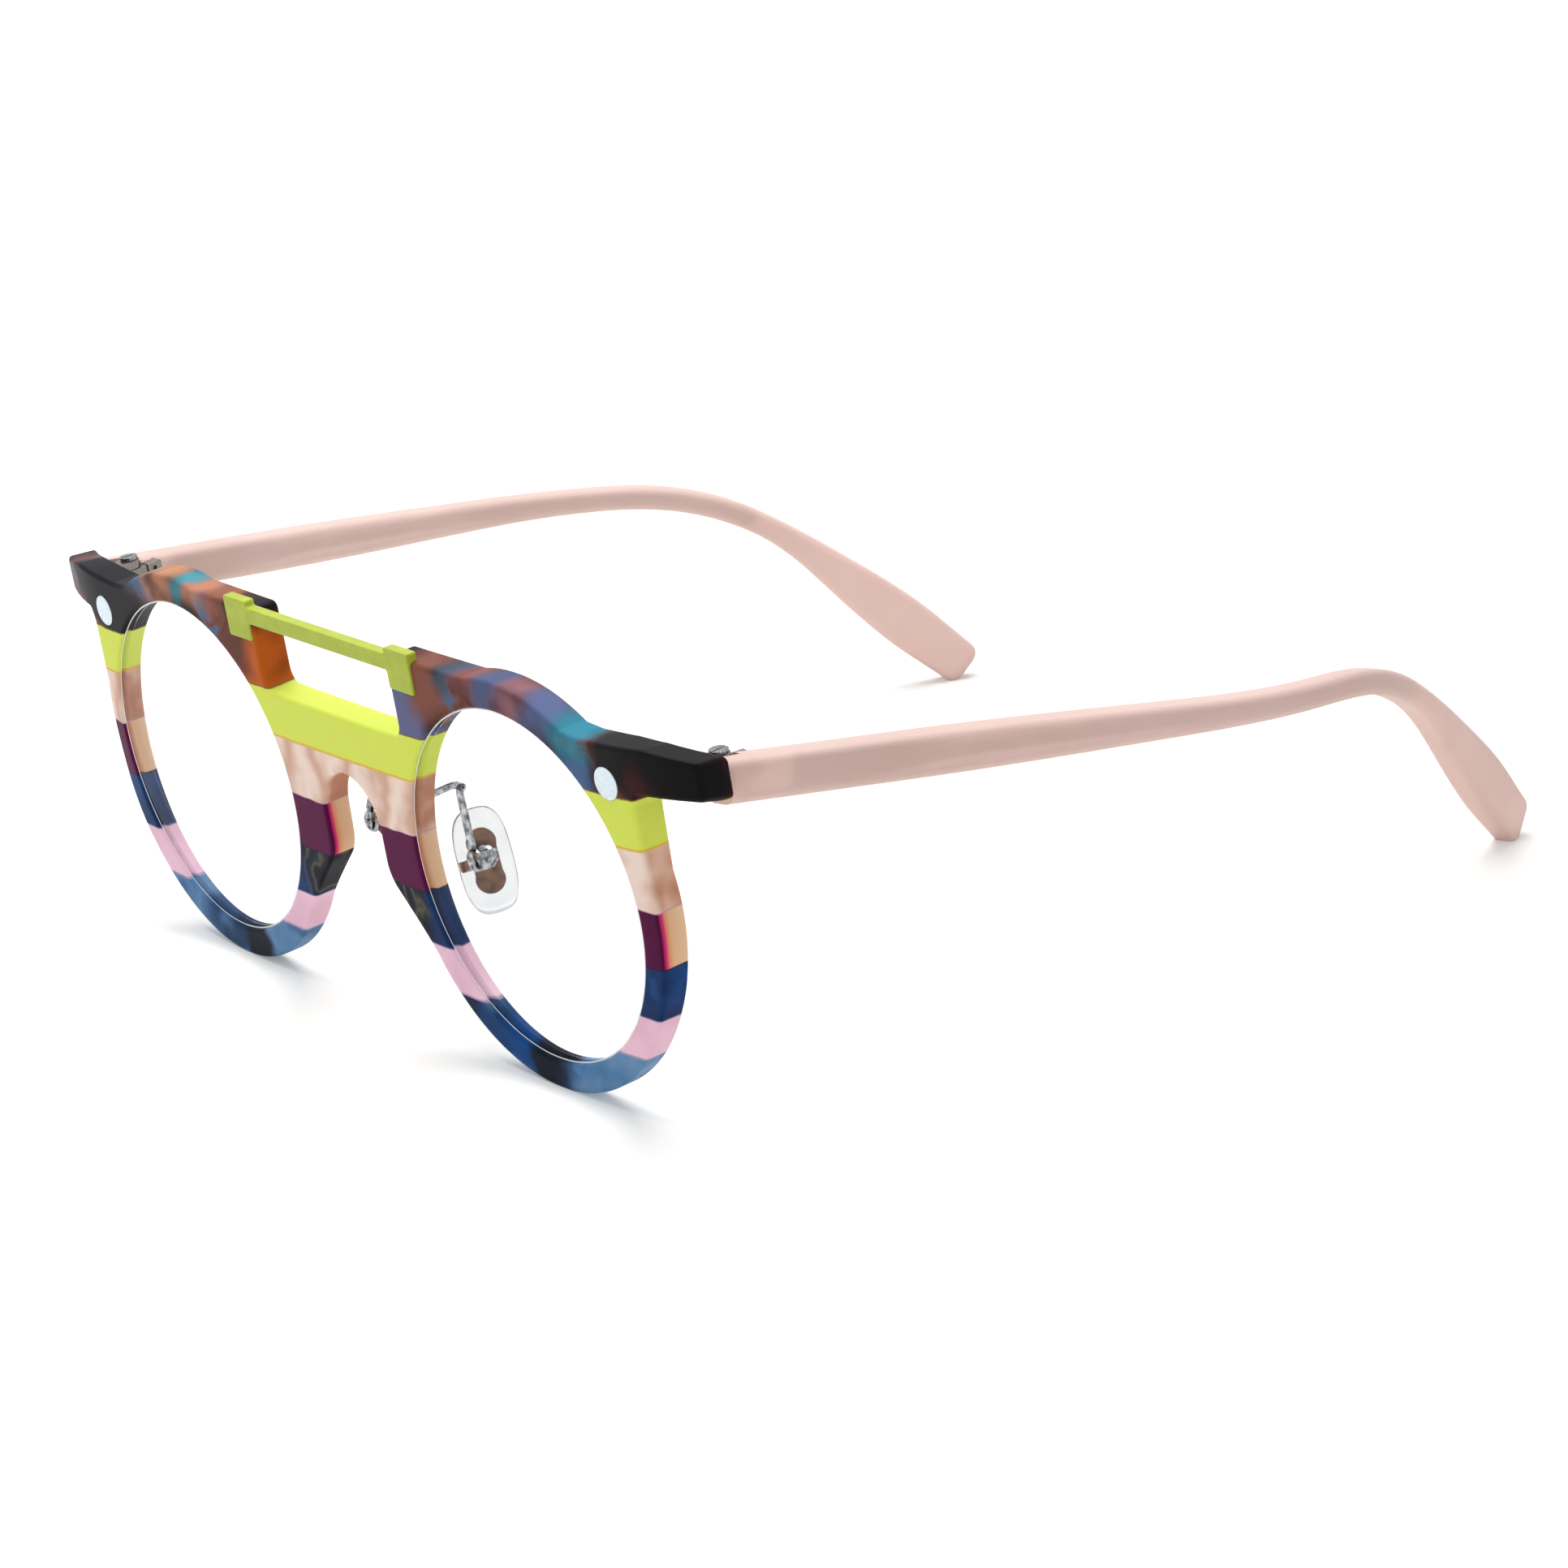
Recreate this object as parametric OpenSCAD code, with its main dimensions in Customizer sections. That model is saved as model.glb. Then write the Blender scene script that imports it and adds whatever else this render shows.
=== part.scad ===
// Round eyeglasses with a laminated acetate front, a metal brow bar and translucent temples.
// X runs across the face, Y from the front to the temple tips, and Z up.
// The glasses stand on their rims and temple tips, with the origin under the middle of their box.
// Most of the front is drawn in its own leaning frame: u across, w rearward and v up the front.
// The side at +X is the wearer's left.

/* [Front] */
// Radius of the opening that shows each lens
opening_r = 21.65; // [19:0.05:22.5]
// Distance from the middle of the bridge to each lens centre
lens_x = 35.5; // [34.5:0.1:36.5]
// Radius of the outer edge of each rim
rim_r = 25.3; // [24.8:0.05:26.5]
// Distance from the middle of the bridge to the centre of each rim's outer edge
rim_x = 35.3; // [34.8:0.1:36]
// Thickness of the acetate at the brow and the end pieces
front_t = 4.2; // [3.8:0.1:4.8]
// Thickness of the acetate at the foot of each rim
foot_t = 2.8; // [2.7:0.1:3.6]
// Height at which the acetate starts to get thinner towards the feet
taper_v = 15; // [10:0.5:15]
// Width of the bevel around the rear of each opening
rear_bevel = 0.5; // [0.2:0.05:0.5]
// Lean of the front, its lower edge rearward
lean = 5.43; // [3:0.1:8]
// Radius of the bow of the front across the face
bow_r = 1073; // [700:1:2500]
// Half of the width across the end pieces
end_u = 69.5; // [68.8:0.1:71]
// Distance from the middle at which the end pieces start to sweep back
sweep_u = 56; // [54:0.5:59]
// How far the end pieces sweep back beyond the bow
sweep_w = 2.6; // [2:0.1:3]
// Height of the brow above the lens centres
brow_v = 24.8; // [23.5:0.1:26]
// Height of the low stretch of the top edge, inboard of the end pieces
dip_v = 21.4; // [20.6:0.1:22]
// Height of the outer top corner of the end pieces
end_top_v = 20.9; // [20.5:0.1:21.4]
// Height of the lower edge of the end pieces where the temples meet them
end_low_v = 15.2; // [14.8:0.1:15.5]
// Rise of the end pieces' underside, from the temples forward
end_rise = 15.3; // [10:0.5:18]
// Distance from the middle to the inner edge of each brow lobe
lobe_u = 15; // [13:0.1:15.4]
// Height of the upper edge of the acetate bridge
bridge_v = 14.5; // [12.5:0.1:16]
// Radius of the round top of the nose arch
arch_r = 6.1; // [5:0.1:6.5]
// Height of the middle of the nose arch's round top
arch_v = 0.6; // [-0.5:0.1:2]
// Depth of the small flat under each rim
foot_flat = 0.12; // [0.05:0.01:0.3]

/* [Lenses] */
// Thickness of a lens
lens_t = 1.6; // [1.2:0.1:1.8]
// Radius of the faces of a lens
lens_face_r = 133; // [90:1:300]
// Distance from the front's face back to the middle of a lens's edge
lens_w = 1.3; // [1.25:0.05:1.4]
// Depth of the groove that holds a lens
groove_d = 0.75; // [0.5:0.05:1]
// Clearance of a lens in its rim
lens_gap = 0.05; // [0.02:0.01:0.1]

/* [Brow bar] */
// Distance from the middle to the inner edge of each tab of the bar
tab_in_u = 15.42; // [15.42:0.05:16]
// Distance from the middle to the outer edge of each tab
tab_out_u = 20.47; // [19.5:0.05:22]
// Height of the tabs' upper edge over the brow
tab_rise = 1.14; // [0.4:0.02:1.8]
// Height of the tabs
tab_h = 5.14; // [4.2:0.02:5.4]
// Height of the thin stretch's upper edge over the brow
bar_rise = 0.32; // [-0.4:0.02:0.36]
// Height of the thin stretch
bar_h = 2.06; // [1.4:0.02:2.6]
// Thickness of the bar
bar_t = 1.4; // [1:0.05:1.8]
// How far the bar stands proud of the acetate
bar_proud = 0.12; // [0.05:0.01:0.3]
// Radius of the pins behind the tabs
bar_pin_r = 0.7; // [0.5:0.05:1]
// Length of the pins in the acetate
bar_pin_l = 1.8; // [1:0.1:2.1]

/* [Rivets] */
// Distance from the middle to each rivet
rivet_u = 55.67; // [55.2:0.05:56.4]
// Height of the rivets
rivet_v = 16.92; // [16.6:0.02:17.2]
// Radius of a rivet's disc
rivet_r = 2; // [1.6:0.05:2.3]
// Thickness of a rivet's disc
rivet_t = 0.8; // [0.5:0.05:1.1]
// How far a rivet's disc stands proud
rivet_proud = 0.1; // [0.05:0.01:0.2]
// Radius of a rivet's shank
shank_r = 0.6; // [0.5:0.05:0.75]

/* [Hinges] */
// Distance from the middle to each hinge axis
hinge_u = 64.7; // [64.5:0.05:64.9]
// Distance from the front's face to the hinge axis
hinge_w = 10.92; // [10.6:0.02:11.2]
// Radius of the knuckles
knuckle_r = 1.3; // [1.15:0.05:1.35]
// Height of the foot of the knuckles
knuckle_v = 15.75; // [15.5:0.05:15.9]
// Height of each of the three knuckles
knuckle_h = 1.1; // [1:0.01:1.2]
// Radius of the hinge screw
screw_r = 0.55; // [0.45:0.05:0.65]
// Radius of the hinge screw's head
screw_head_r = 1.15; // [0.95:0.05:1.2]
// Height of the hinge screw's head
screw_head_h = 0.45; // [0.4:0.05:0.6]
// Radial clearance of the hinge screw in the temple's knuckle
screw_gap = 0.04; // [0.02:0.01:0.08]
// Clearance between neighbouring knuckles
knuckle_gap = 0.05; // [0.03:0.01:0.08]
// Clearance between knuckles and acetate
hinge_room = 0.3; // [0.25:0.01:0.35]
// Thickness of the hinge plate let into the front
plate_t = 0.9; // [0.7:0.05:1.1]
// Height of the hinge plate
plate_h = 3.2; // [2.8:0.1:3.6]
// Length of the housing on the temple
housing_l = 2.2; // [2:0.1:3.2]
// Height of the housing on the temple
housing_h = 2.2; // [2.2:0.05:2.4]
// Height of the housing's foot above the foot of the knuckles
housing_low = 0.1; // [0.05:0.05:0.2]
// How far the housing reaches inboard of the hinge axis
housing_in = 1.6; // [1.4:0.05:1.8]

/* [Temples] */
// Place along X of the temple's middle line, 12 mm behind the lens plane
temple_x = 67; // [66.9:0.05:67.1]
// Height above the lens centres of the temple's middle line there
temple_z = 17.22; // [17.1:0.02:17.3]
// Length from there to the tip
temple_l = 140.2; // [136:0.2:146]
// Half of the temple's height from the hinge to a quarter of its length
temple_half_h = 2.5; // [2.4:0.05:2.7]
// Half of the temple's height at its waist
waist_half_h = 1.55; // [1.4:0.05:2]
// Half of the temple's height at the widest part of the tip
tip_half_h = 3.55; // [3.2:0.05:3.9]
// Half of the temple's height at its end
end_half_h = 3.1; // [2.8:0.1:3.4]
// Half of the temple's thickness at the hinge
temple_half_t = 2.35; // [2.3:0.05:2.45]
// Half of the temple's thickness at the tip
tip_half_t = 1.8; // [1.6:0.05:2]
// Outward heading of the temple at the hinge
heading_out = 7.16; // [6.8:0.05:7.4]
// Inward heading of the temple at the tip
heading_in = 21.5; // [18:0.5:24]
// Downward slope of the temple at the hinge
slope_start = 5.95; // [5.8:0.05:6.2]
// Downward slope of the temple at the tip
slope_end = 43.2; // [42:0.1:44]
// Gap between the temple's butt and the end piece
butt_gap = 0.2; // [0.1:0.02:0.3]
// Radius of the temple's edges
temple_edge_r = 1.1; // [0.8:0.05:1.3]
// Radius of the corners at the tip
tip_round = 1.6; // [1.2:0.1:2]
// Length of the wire core inside the temple
core_l = 96; // [80:1:110]
// Half of the height of the core's broad blade
blade_half_h = 1.6; // [1.2:0.05:1.8]
// Half of the height of the core's narrow stretch
wire_half_h = 0.7; // [0.5:0.05:0.9]
// Half of the core's thickness
core_half_t = 0.55; // [0.4:0.05:0.7]

/* [Nose pads] */
// Distance from the middle to each pad's pivot
pivot_x = 11.6; // [11.4:0.05:12]
// Distance from the lens plane back to the middle of each pad's pivot
pivot_y = 10.3; // [10.1:0.05:10.6]
// Height of the pad pivots, from the lens centres
pivot_z = -4.2; // [-4.5:0.05:-3.9]
// Radius of the box that holds a pad
box_r = 1.5; // [1.4:0.05:1.6]
// Length of the box
box_l = 2.6; // [2.4:0.05:3]
// Width of the slot in the box
box_slot = 1.3; // [1.1:0.05:1.4]
// Side clearance of the pad's lug in the box
lug_gap = 0.05; // [0.03:0.01:0.08]
// Radius of the round end of the lug
lug_r = 0.88; // [0.8:0.02:0.9]
// Radius of the pad screw
pad_screw_r = 0.45; // [0.4:0.05:0.5]
// Radius of the pad screw's head
pad_head_r = 0.9; // [0.8:0.05:1]
// Height of the pad screw's head
pad_head_h = 0.8; // [0.6:0.05:1]
// Length of a pad
pad_l = 13.3; // [12.5:0.1:14.5]
// Width of a pad
pad_w = 6.8; // [6.8:0.1:7.8]
// Thickness of a pad
pad_t = 2.9; // [2.7:0.1:3.1]
// Radius of the wire of a pad arm
arm_r = 0.5; // [0.4:0.02:0.55]

/* [Hidden] */
$fn = 64;

// Clearance of pieces that are let into one another and stay there
fit = 0.02;
// A length that reaches past a piece when it cuts
over = 1;
// How much thicker a wire is at its bends
joint_swell = 0.03;

// Height of the lens centres over the surface that the glasses stand on
lens_z = rim_r * cos(lean) - pow(rim_x, 2) / (2 * bow_r) * sin(lean) - foot_flat;
// Distance from the lens plane back to the middle of the glasses' box
middle_y = 68.145;

// The depth of the front's face behind its own plane: a bow, and the sweep of the end pieces
function face_w(u) = pow(u, 2) / (2 * bow_r) + (abs(u) > sweep_u ? sweep_w * pow((abs(u) - sweep_u) / (end_u - sweep_u), 2) : 0);
// The turn of the face about the upright
function face_turn(u) = atan(u / bow_r + (u > sweep_u ? 2 * sweep_w * (u - sweep_u) / pow(end_u - sweep_u, 2) : 0));
function smooth(t) = t <= 0 ? 0 : t >= 1 ? 1 : t * t * (3 - 2 * t);
function blend(a, b, t) = a + (b - a) * smooth(t);
function arc(centre, r, from, to, n) =
    [for (i = [0:n]) centre + r * [cos(from + (to - from) * i / n), sin(from + (to - from) * i / n)]];

// Places children at the glasses' place over the surface
module standing() translate([0, -middle_y, lens_z]) children();
// Places children that are drawn in the front's leaning frame
module leaning() standing() rotate([lean, 0, 0]) children();
// Draws the left piece, or its mirror image on the right
module side(left) if (left) children(); else mirror([1, 0, 0]) children();
// Turns a shape drawn along Z to run along w, out of the face and rearward
module rearward() rotate([-90, 0, 0]) children();
// A rod with round ends
module rod(p, q, r) {
    d = q - p;
    translate(p) rotate([0, acos(d[2] / norm(d)), atan2(d[1], d[0])]) cylinder(h = norm(d), r = r, $fn = 32);
    for (c = [p, q]) translate(c) sphere(r = r + joint_swell, $fn = 32);
}

// The front

// Where the flare under the nose arch meets the rim
flare_v = -14.2;
flare_u = rim_x - sqrt(pow(rim_r, 2) - pow(flare_v, 2));
// The round corner between the arch's straight flank and the flare
flank_v = -3;
flank_r = 5;
flank_turn = 45;
flank_end = [arch_r + flank_r * (1 - cos(flank_turn)), flank_v - flank_r * sin(flank_turn)];
// The point towards which both ends of the flare head
flare_knee = [flank_end[0] + 6.2, flank_end[1] - 6.2];
function flare(t) = pow(1 - t, 2) * flank_end + 2 * t * (1 - t) * flare_knee + t * t * [flare_u, flare_v];

// Where the underside of the end piece starts, beside the rim
under_u = rim_x + 24.4;

// Half of the front's outline above and beside the rims
module half_outline() polygon(concat(
    [[-over, bridge_v], [lobe_u, bridge_v], [lobe_u, brow_v], [rim_x, brow_v], [rim_x + 4.7, brow_v - 0.35],
        [rim_x + 9.2, brow_v - 1.55], [rim_x + 13.2, dip_v + 0.45], [rim_x + 16.2, dip_v], [rim_x + 20.7, dip_v + 0.2],
        [rim_x + 26.7, dip_v + 0.5], [end_u - 0.5, end_top_v], [end_u, end_top_v - 0.5], [end_u, end_low_v],
        [under_u, end_low_v], [rim_x + 24.6, 6]],
    [[rim_x, 0]],
    [for (i = [8:-1:1]) flare(i / 8)],
    [for (p = arc([arch_r + flank_r, flank_v], flank_r, 180 + flank_turn, 180, 6)) p],
    [[arch_r, arch_v], [-over, arch_v]]));

// The front's outline, far thicker than the sheet
module outline() difference() {
    union() {
        for (s = [true, false]) side(s) {
            translate([0, 4 * front_t, 0]) rotate([90, 0, 0]) linear_extrude(height = 8 * front_t) half_outline();
            translate([rim_x, 0, 0]) rearward() cylinder(h = 8 * front_t, r = rim_r, center = true, $fn = 128);
        }
    }
    translate([0, 0, arch_v]) rearward() cylinder(h = 10 * front_t, r = arch_r, center = true);
}

// The bowed sheet that the front is cut from, seen from above, with its face moved ahead
module sheet(ahead) {
    us = concat([for (u = [0:8:48]) u], [for (u = [sweep_u:1.5:end_u + 2]) u]);
    n = len(us) - 1;
    half_face = [for (u = us) [u, face_w(u) - ahead]];
    face = concat([for (i = [n:-1:1]) [-half_face[i][0], half_face[i][1]]], half_face);
    back = [for (i = [len(face) - 1:-1:0]) face[i] + [0, front_t + ahead]];
    polygon(concat(face, back));
}

// The lean of the rear below the height where the acetate starts to get thinner
taper = atan((front_t - foot_t) / (taper_v + rim_r));
module along_rear() translate([0, 0, taper_v]) rotate([-taper, 0, 0]) translate([0, 0, -taper_v]) children();

module at_lens(depth) translate([lens_x, face_w(lens_x) + depth, 0]) rotate([0, 0, face_turn(lens_x)]) rearward() children();

// Half of the width of the groove at its mouth
groove_half_h = 0.8;

// The opening for a lens with its groove and its rear bevel
module lens_cut() {
    at_lens(lens_w) {
        cylinder(h = 4 * front_t, r = opening_r, center = true, $fn = 128);
        rotate_extrude($fn = 128) polygon([[opening_r - over, -groove_half_h], [opening_r, -groove_half_h],
            [opening_r + groove_d, -0.25], [opening_r + groove_d, 0.25],
            [opening_r, groove_half_h], [opening_r - over, groove_half_h]]);
    }
    along_rear() at_lens(front_t - rear_bevel - over)
        cylinder(h = rear_bevel + 2 * over, r1 = opening_r - over, r2 = opening_r + rear_bevel + over, $fn = 128);
}

tab_top_v = brow_v + tab_rise;
tab_low_v = tab_top_v - tab_h;
bar_top_v = brow_v + bar_rise;
bar_low_v = bar_top_v - bar_h;

// The bar's tabs and its thin stretch, from the given depth forward
module bar_shape(grow, depth, reach) translate([0, depth - reach, 0]) {
    for (s = [true, false]) side(s) translate([tab_in_u - grow, 0, tab_low_v - grow])
        cube([tab_out_u - tab_in_u + 2 * grow, reach, tab_h + 2 * grow]);
    translate([-tab_in_u - over, 0, bar_low_v - grow])
        cube([2 * (tab_in_u + over), reach, bar_h + 2 * grow]);
}

pin_u = (tab_in_u + tab_out_u) / 2;
pin_v = (tab_low_v + bar_low_v) / 2;
bar_back_w = bar_t - bar_proud;

// The plate of the front hinge, let into the rear of the end piece
plate_start_u = rivet_u - 1.7;
plate_l = hinge_u - plate_start_u;
plate_turn = atan((face_w(hinge_u) - face_w(plate_start_u)) / plate_l);
plate_v = rivet_v - plate_h / 2;
stack_h = 3 * knuckle_h + 2 * knuckle_gap;
// The block at the end of the plate that carries the knuckles
root_w = face_w(hinge_u) + front_t - 1.3;
root_l = 1.95;
root_h = stack_h - 0.45;
module hinge_plate(grow) {
    translate([plate_start_u, face_w(plate_start_u) + front_t - plate_t + 0.1, plate_v]) rotate([0, 0, plate_turn])
        translate([-grow, -grow, -grow]) cube([plate_l + 2 * grow, plate_t + 2 * grow, plate_h + 2 * grow]);
    translate([hinge_u - knuckle_r - grow, root_w - grow, knuckle_v + stack_h - root_h - grow])
        cube([2 * knuckle_r + 2 * grow, root_l + 2 * grow, root_h + 2 * grow]);
}

module at_rivet() translate([rivet_u, face_w(rivet_u), rivet_v]) rotate([0, 0, face_turn(rivet_u)]) rearward() children();

arm_u = 9.7;
arm_v = 4;
arm_peg_w = 2;

module front_frame() color("#D5E56A") difference() {
    leaning() difference() {
        intersection() {
            outline();
            translate([0, 0, -rim_r - over]) linear_extrude(height = 2 * rim_r + 4 * over) sheet(0);
            along_rear() translate([0, 0, -rim_r - over]) linear_extrude(height = 2 * rim_r + 4 * over) sheet(front_t);
        }
        for (s = [true, false]) side(s) {
            lens_cut();
            translate([0, bar_back_w, 0]) translate([pin_u, -fit, pin_v]) rearward()
                cylinder(h = bar_pin_l + 2 * fit, r = bar_pin_r + fit, $fn = 32);
            at_rivet() {
                translate([0, 0, -over]) cylinder(h = over + rivet_t - rivet_proud + fit, r = rivet_r + fit);
                cylinder(h = front_t + over, r = shank_r + fit, $fn = 32);
            }
            hinge_plate(fit);
            translate([arm_u, arm_peg_w - fit, arm_v]) rearward() cylinder(h = front_t, r = arm_r + fit, $fn = 32);
        }
        bar_shape(fit, bar_back_w + fit, 2 * front_t);
        // The sloping underside of the end pieces
        for (s = [0, 1]) mirror([s, 0, 0]) translate([under_u, face_w(end_u) + front_t, end_low_v])
            rotate([-end_rise, 0, 0]) translate([0, -20, -10]) cube([20, 21, 10]);
    }
    // The flats that the rims stand on
    translate([-end_u, -middle_y - 2 * front_t, -over]) cube([2 * end_u, 5 * front_t, over]);
}

module brow_bar() color("#B0C04E") leaning() difference() {
    bar_shape(0, bar_back_w, bar_t);
    for (s = [true, false]) side(s) translate([pin_u, bar_back_w - bar_t / 2, pin_v]) rearward()
        cylinder(h = bar_t, r = bar_pin_r + fit, $fn = 32);
}

module brow_bar_pin(left) color("#CFE25C") leaning() side(left)
    translate([pin_u, bar_back_w - bar_t / 2 + fit, pin_v]) rearward()
        cylinder(h = bar_t / 2 + bar_pin_l - fit, r = bar_pin_r, $fn = 32);

module lens(left) color("#E8EEF0", 0.35) leaning() side(left) at_lens(lens_w) {
    edge_r = opening_r - lens_gap;
    sag = lens_face_r - sqrt(pow(lens_face_r, 2) - pow(edge_r, 2));
    apex = -lens_t / 2 - sag;
    difference() {
        intersection() {
            rotate_extrude($fn = 128) polygon([[0, -4], [edge_r, -4], [edge_r, -0.75],
                [opening_r + groove_d - lens_gap, -0.15], [opening_r + groove_d - lens_gap, 0.15],
                [edge_r, 0.75], [edge_r, 4], [0, 4]]);
            translate([0, 0, apex + lens_face_r]) sphere(r = lens_face_r, $fn = 200);
        }
        translate([0, 0, apex + lens_t + lens_face_r]) sphere(r = lens_face_r, $fn = 200);
    }
}

module rivet(left) color("#D9E8F3") leaning() side(left) at_rivet() {
    translate([0, 0, -rivet_proud]) cylinder(h = rivet_t, r = rivet_r);
    translate([0, 0, rivet_t - rivet_proud - over / 2])
        cylinder(h = front_t - rivet_t + rivet_proud + over / 2, r = shank_r, $fn = 32);
}

// The hinges

module at_hinge() translate([hinge_u, hinge_w, knuckle_v]) children();
// The place of one knuckle above the foot of the stack
function knuckle_z(i) = i * (knuckle_h + knuckle_gap);

module front_hinge(left) color("#7D7A78") leaning() side(left) difference() {
    union() {
        hinge_plate(0);
        for (i = [0, 2]) at_hinge() translate([0, 0, knuckle_z(i)]) {
            cylinder(h = knuckle_h, r = knuckle_r);
            translate([-knuckle_r, root_w + root_l - 0.1 - hinge_w, 0])
                cube([2 * knuckle_r, hinge_w - root_w - root_l + 0.1, knuckle_h]);
        }
    }
    at_hinge() translate([0, 0, -over]) cylinder(h = stack_h + 2 * over, r = screw_r + screw_gap / 2);
    at_rivet() cylinder(h = 2 * front_t, r = shank_r + fit, $fn = 32);
}

module hinge_screw(left) color("#B9BABA") leaning() side(left) at_hinge() difference() {
    union() {
        cylinder(h = stack_h + screw_head_h / 2, r = screw_r);
        translate([0, 0, stack_h + fit]) cylinder(h = screw_head_h, r = screw_head_r);
    }
    translate([-0.15, -2 * screw_head_r, stack_h + screw_head_h / 2]) cube([0.3, 4 * screw_head_r, screw_head_h]);
}

housing_start = knuckle_r + hinge_room;
housing_out = 0.7;
module housing(grow) translate([-housing_in, housing_start, housing_low])
    translate([0, -grow, -grow]) cube([housing_in + housing_out + grow, housing_l + 2 * grow, housing_h + 2 * grow]);

module temple_hinge(left) color("#8A837C") leaning() side(left) at_hinge() difference() {
    union() {
        translate([0, 0, knuckle_z(1)]) {
            cylinder(h = knuckle_h, r = knuckle_r);
            rotate([0, 0, -heading_out]) translate([-knuckle_r, 0, 0])
                cube([knuckle_r + housing_out, housing_start + over, knuckle_h]);
        }
        rotate([0, 0, -heading_out]) housing(0);
    }
    translate([0, 0, -over]) cylinder(h = stack_h + 2 * over, r = screw_r + screw_gap);
    // The small window in the housing's inboard face
    rotate([0, 0, -heading_out]) translate([-housing_in - over, housing_start + 0.5, housing_low + 0.5])
        cube([over + 0.6, 0.8, housing_h - 1]);
}

// The temples

// Where the temple starts to turn in, and where it starts to bend down
turn_out_s = 0.383 * temple_l;
turn_out_l = 0.279 * temple_l;
bend_s = 0.5407 * temple_l;
bend_l = 0.2839 * temple_l;
function heading(s) = blend(heading_out, -heading_in, (s - turn_out_s) / turn_out_l);
function slope(s) = blend(-slope_start, -slope_end, (s - bend_s) / bend_l);
function along(s) = [sin(heading(s)) * cos(slope(s)), cos(heading(s)) * cos(slope(s)), sin(slope(s))];
function outward(s) = [cos(heading(s)), -sin(heading(s)), 0];
function upward(s) = cross(outward(s), along(s));
temple_origin = [temple_x, 12, temple_z];
// Places along the middle line at the given lengths, the first of them on its straight stretch
function line(ss) = [for (i = 0, p = temple_origin + ss[0] * along(0); i < len(ss);
    p = i + 1 < len(ss) ? p + (ss[i + 1] - ss[i]) * along((ss[i] + ss[i + 1]) / 2) : p, i = i + 1) p];

// The stretch over which it narrows to its waist, and the stretch over which it widens to its tip
narrow_s = 0.1427 * temple_l;
narrow_l = 0.428 * temple_l;
widen_s = 0.7204 * temple_l;
widest_s = 0.9201 * temple_l;
function half_height(s) = s < narrow_s + narrow_l ? blend(temple_half_h, waist_half_h, (s - narrow_s) / narrow_l)
    : s < widest_s ? blend(waist_half_h, tip_half_h, (s - widen_s) / (widest_s - widen_s))
    : blend(tip_half_h, end_half_h, (s - widest_s) / (temple_l - widest_s));
function half_thickness(s) = blend(temple_half_t, tip_half_t, s / temple_l);

// A rectangle with round corners, as points on the ring at one length
function corner_ring(c, a, b, half, r, n) = [for (q = [0:3]) for (i = [0:n])
    let (t = 90 * q + 90 * i / n)
    c + a * ((q == 0 || q == 3 ? 1 : -1) * (half[0] - r) + r * cos(t))
      + b * ((q < 2 ? 1 : -1) * (half[1] - r) + r * sin(t))];

module tube(rings) {
    n = len(rings);
    m = len(rings[0]);
    polyhedron(
        points = [for (ring = rings) for (p = ring) p],
        faces = concat(
            [[for (j = [m - 1:-1:0]) j]],
            [for (i = [0:n - 2]) for (j = [0:m - 1])
                let (a = i * m + j, b = i * m + (j + 1) % m, c = b + m, d = a + m)
                each [[a, b, d], [b, c, d]]],
            [[for (j = [0:m - 1]) (n - 1) * m + j]]));
}

butt_s = -6.5;
ring_steps = 36;
ring_step = (temple_l - tip_round - butt_s) / ring_steps;
function tip_s(a) = temple_l - tip_round * (1 - sin(a));
temple_ss = concat([for (i = [0:ring_steps]) butt_s + i * ring_step], [for (a = [30, 60, 90]) tip_s(a)]);
function tip_cut(s) = s <= temple_l - tip_round ? 0
    : tip_round - sqrt(max(0, pow(tip_round, 2) - pow(s - temple_l + tip_round, 2)));
temple_rings = let (c = line(temple_ss)) [for (i = [0:len(c) - 1]) let (s = temple_ss[i])
    corner_ring(c[i], outward(s), upward(s),
        [half_thickness(s) - 0.4 * tip_cut(s), half_height(s) - tip_cut(s)], temple_edge_r * (tip_cut(s) > 0 ? 0.8 : 1), 2)];

core_s = 4.5;
core_steps = 24;
core_ss = [for (i = [0:core_steps]) core_s + i * core_l / core_steps];
function core_half_h(s) = blend(blade_half_h, wire_half_h, (s - 12) / 16);
function core_rings(grow) = let (c = line(core_ss)) [for (i = [0:len(c) - 1]) let (s = core_ss[i])
    corner_ring(c[i] + along(s) * (i == 0 ? -grow : i == core_steps ? grow : 0), outward(s), upward(s),
        [core_half_t + grow, core_half_h(s) + grow], 0.3, 1)];

// The temple's outer cheek passes the knuckles, so its inner half stops behind them
cheek_u = knuckle_r + hinge_room;
cheek_w = housing_start - fit;

module temple(left) color("#E3C3BB") side(left) difference() {
    standing() difference() {
        tube(temple_rings);
        tube(core_rings(fit));
    }
    leaning() {
        at_hinge() {
            translate([-8, -12, -10]) cube([8 + cheek_u, 12 + cheek_w, 20]);
            rotate([0, 0, -heading_out]) for (room = [0, hinge_room]) translate([0, -room, 0]) housing(fit);
        }
        // The butt lies along the swept rear of the end piece
        translate([end_u, face_w(end_u) + front_t + butt_gap, 0]) rotate([0, 0, face_turn(end_u - 1.5)])
            translate([-20, -20, 0]) cube([40, 20, 40]);
    }
    // The flat that the tip stands on
    translate([0, 0, -temple_l]) cube([2 * end_u, 2 * temple_l, temple_l]);
}

module temple_core(left) color("#B99E95") side(left) standing() tube(core_rings(0));

// The nose pads

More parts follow.
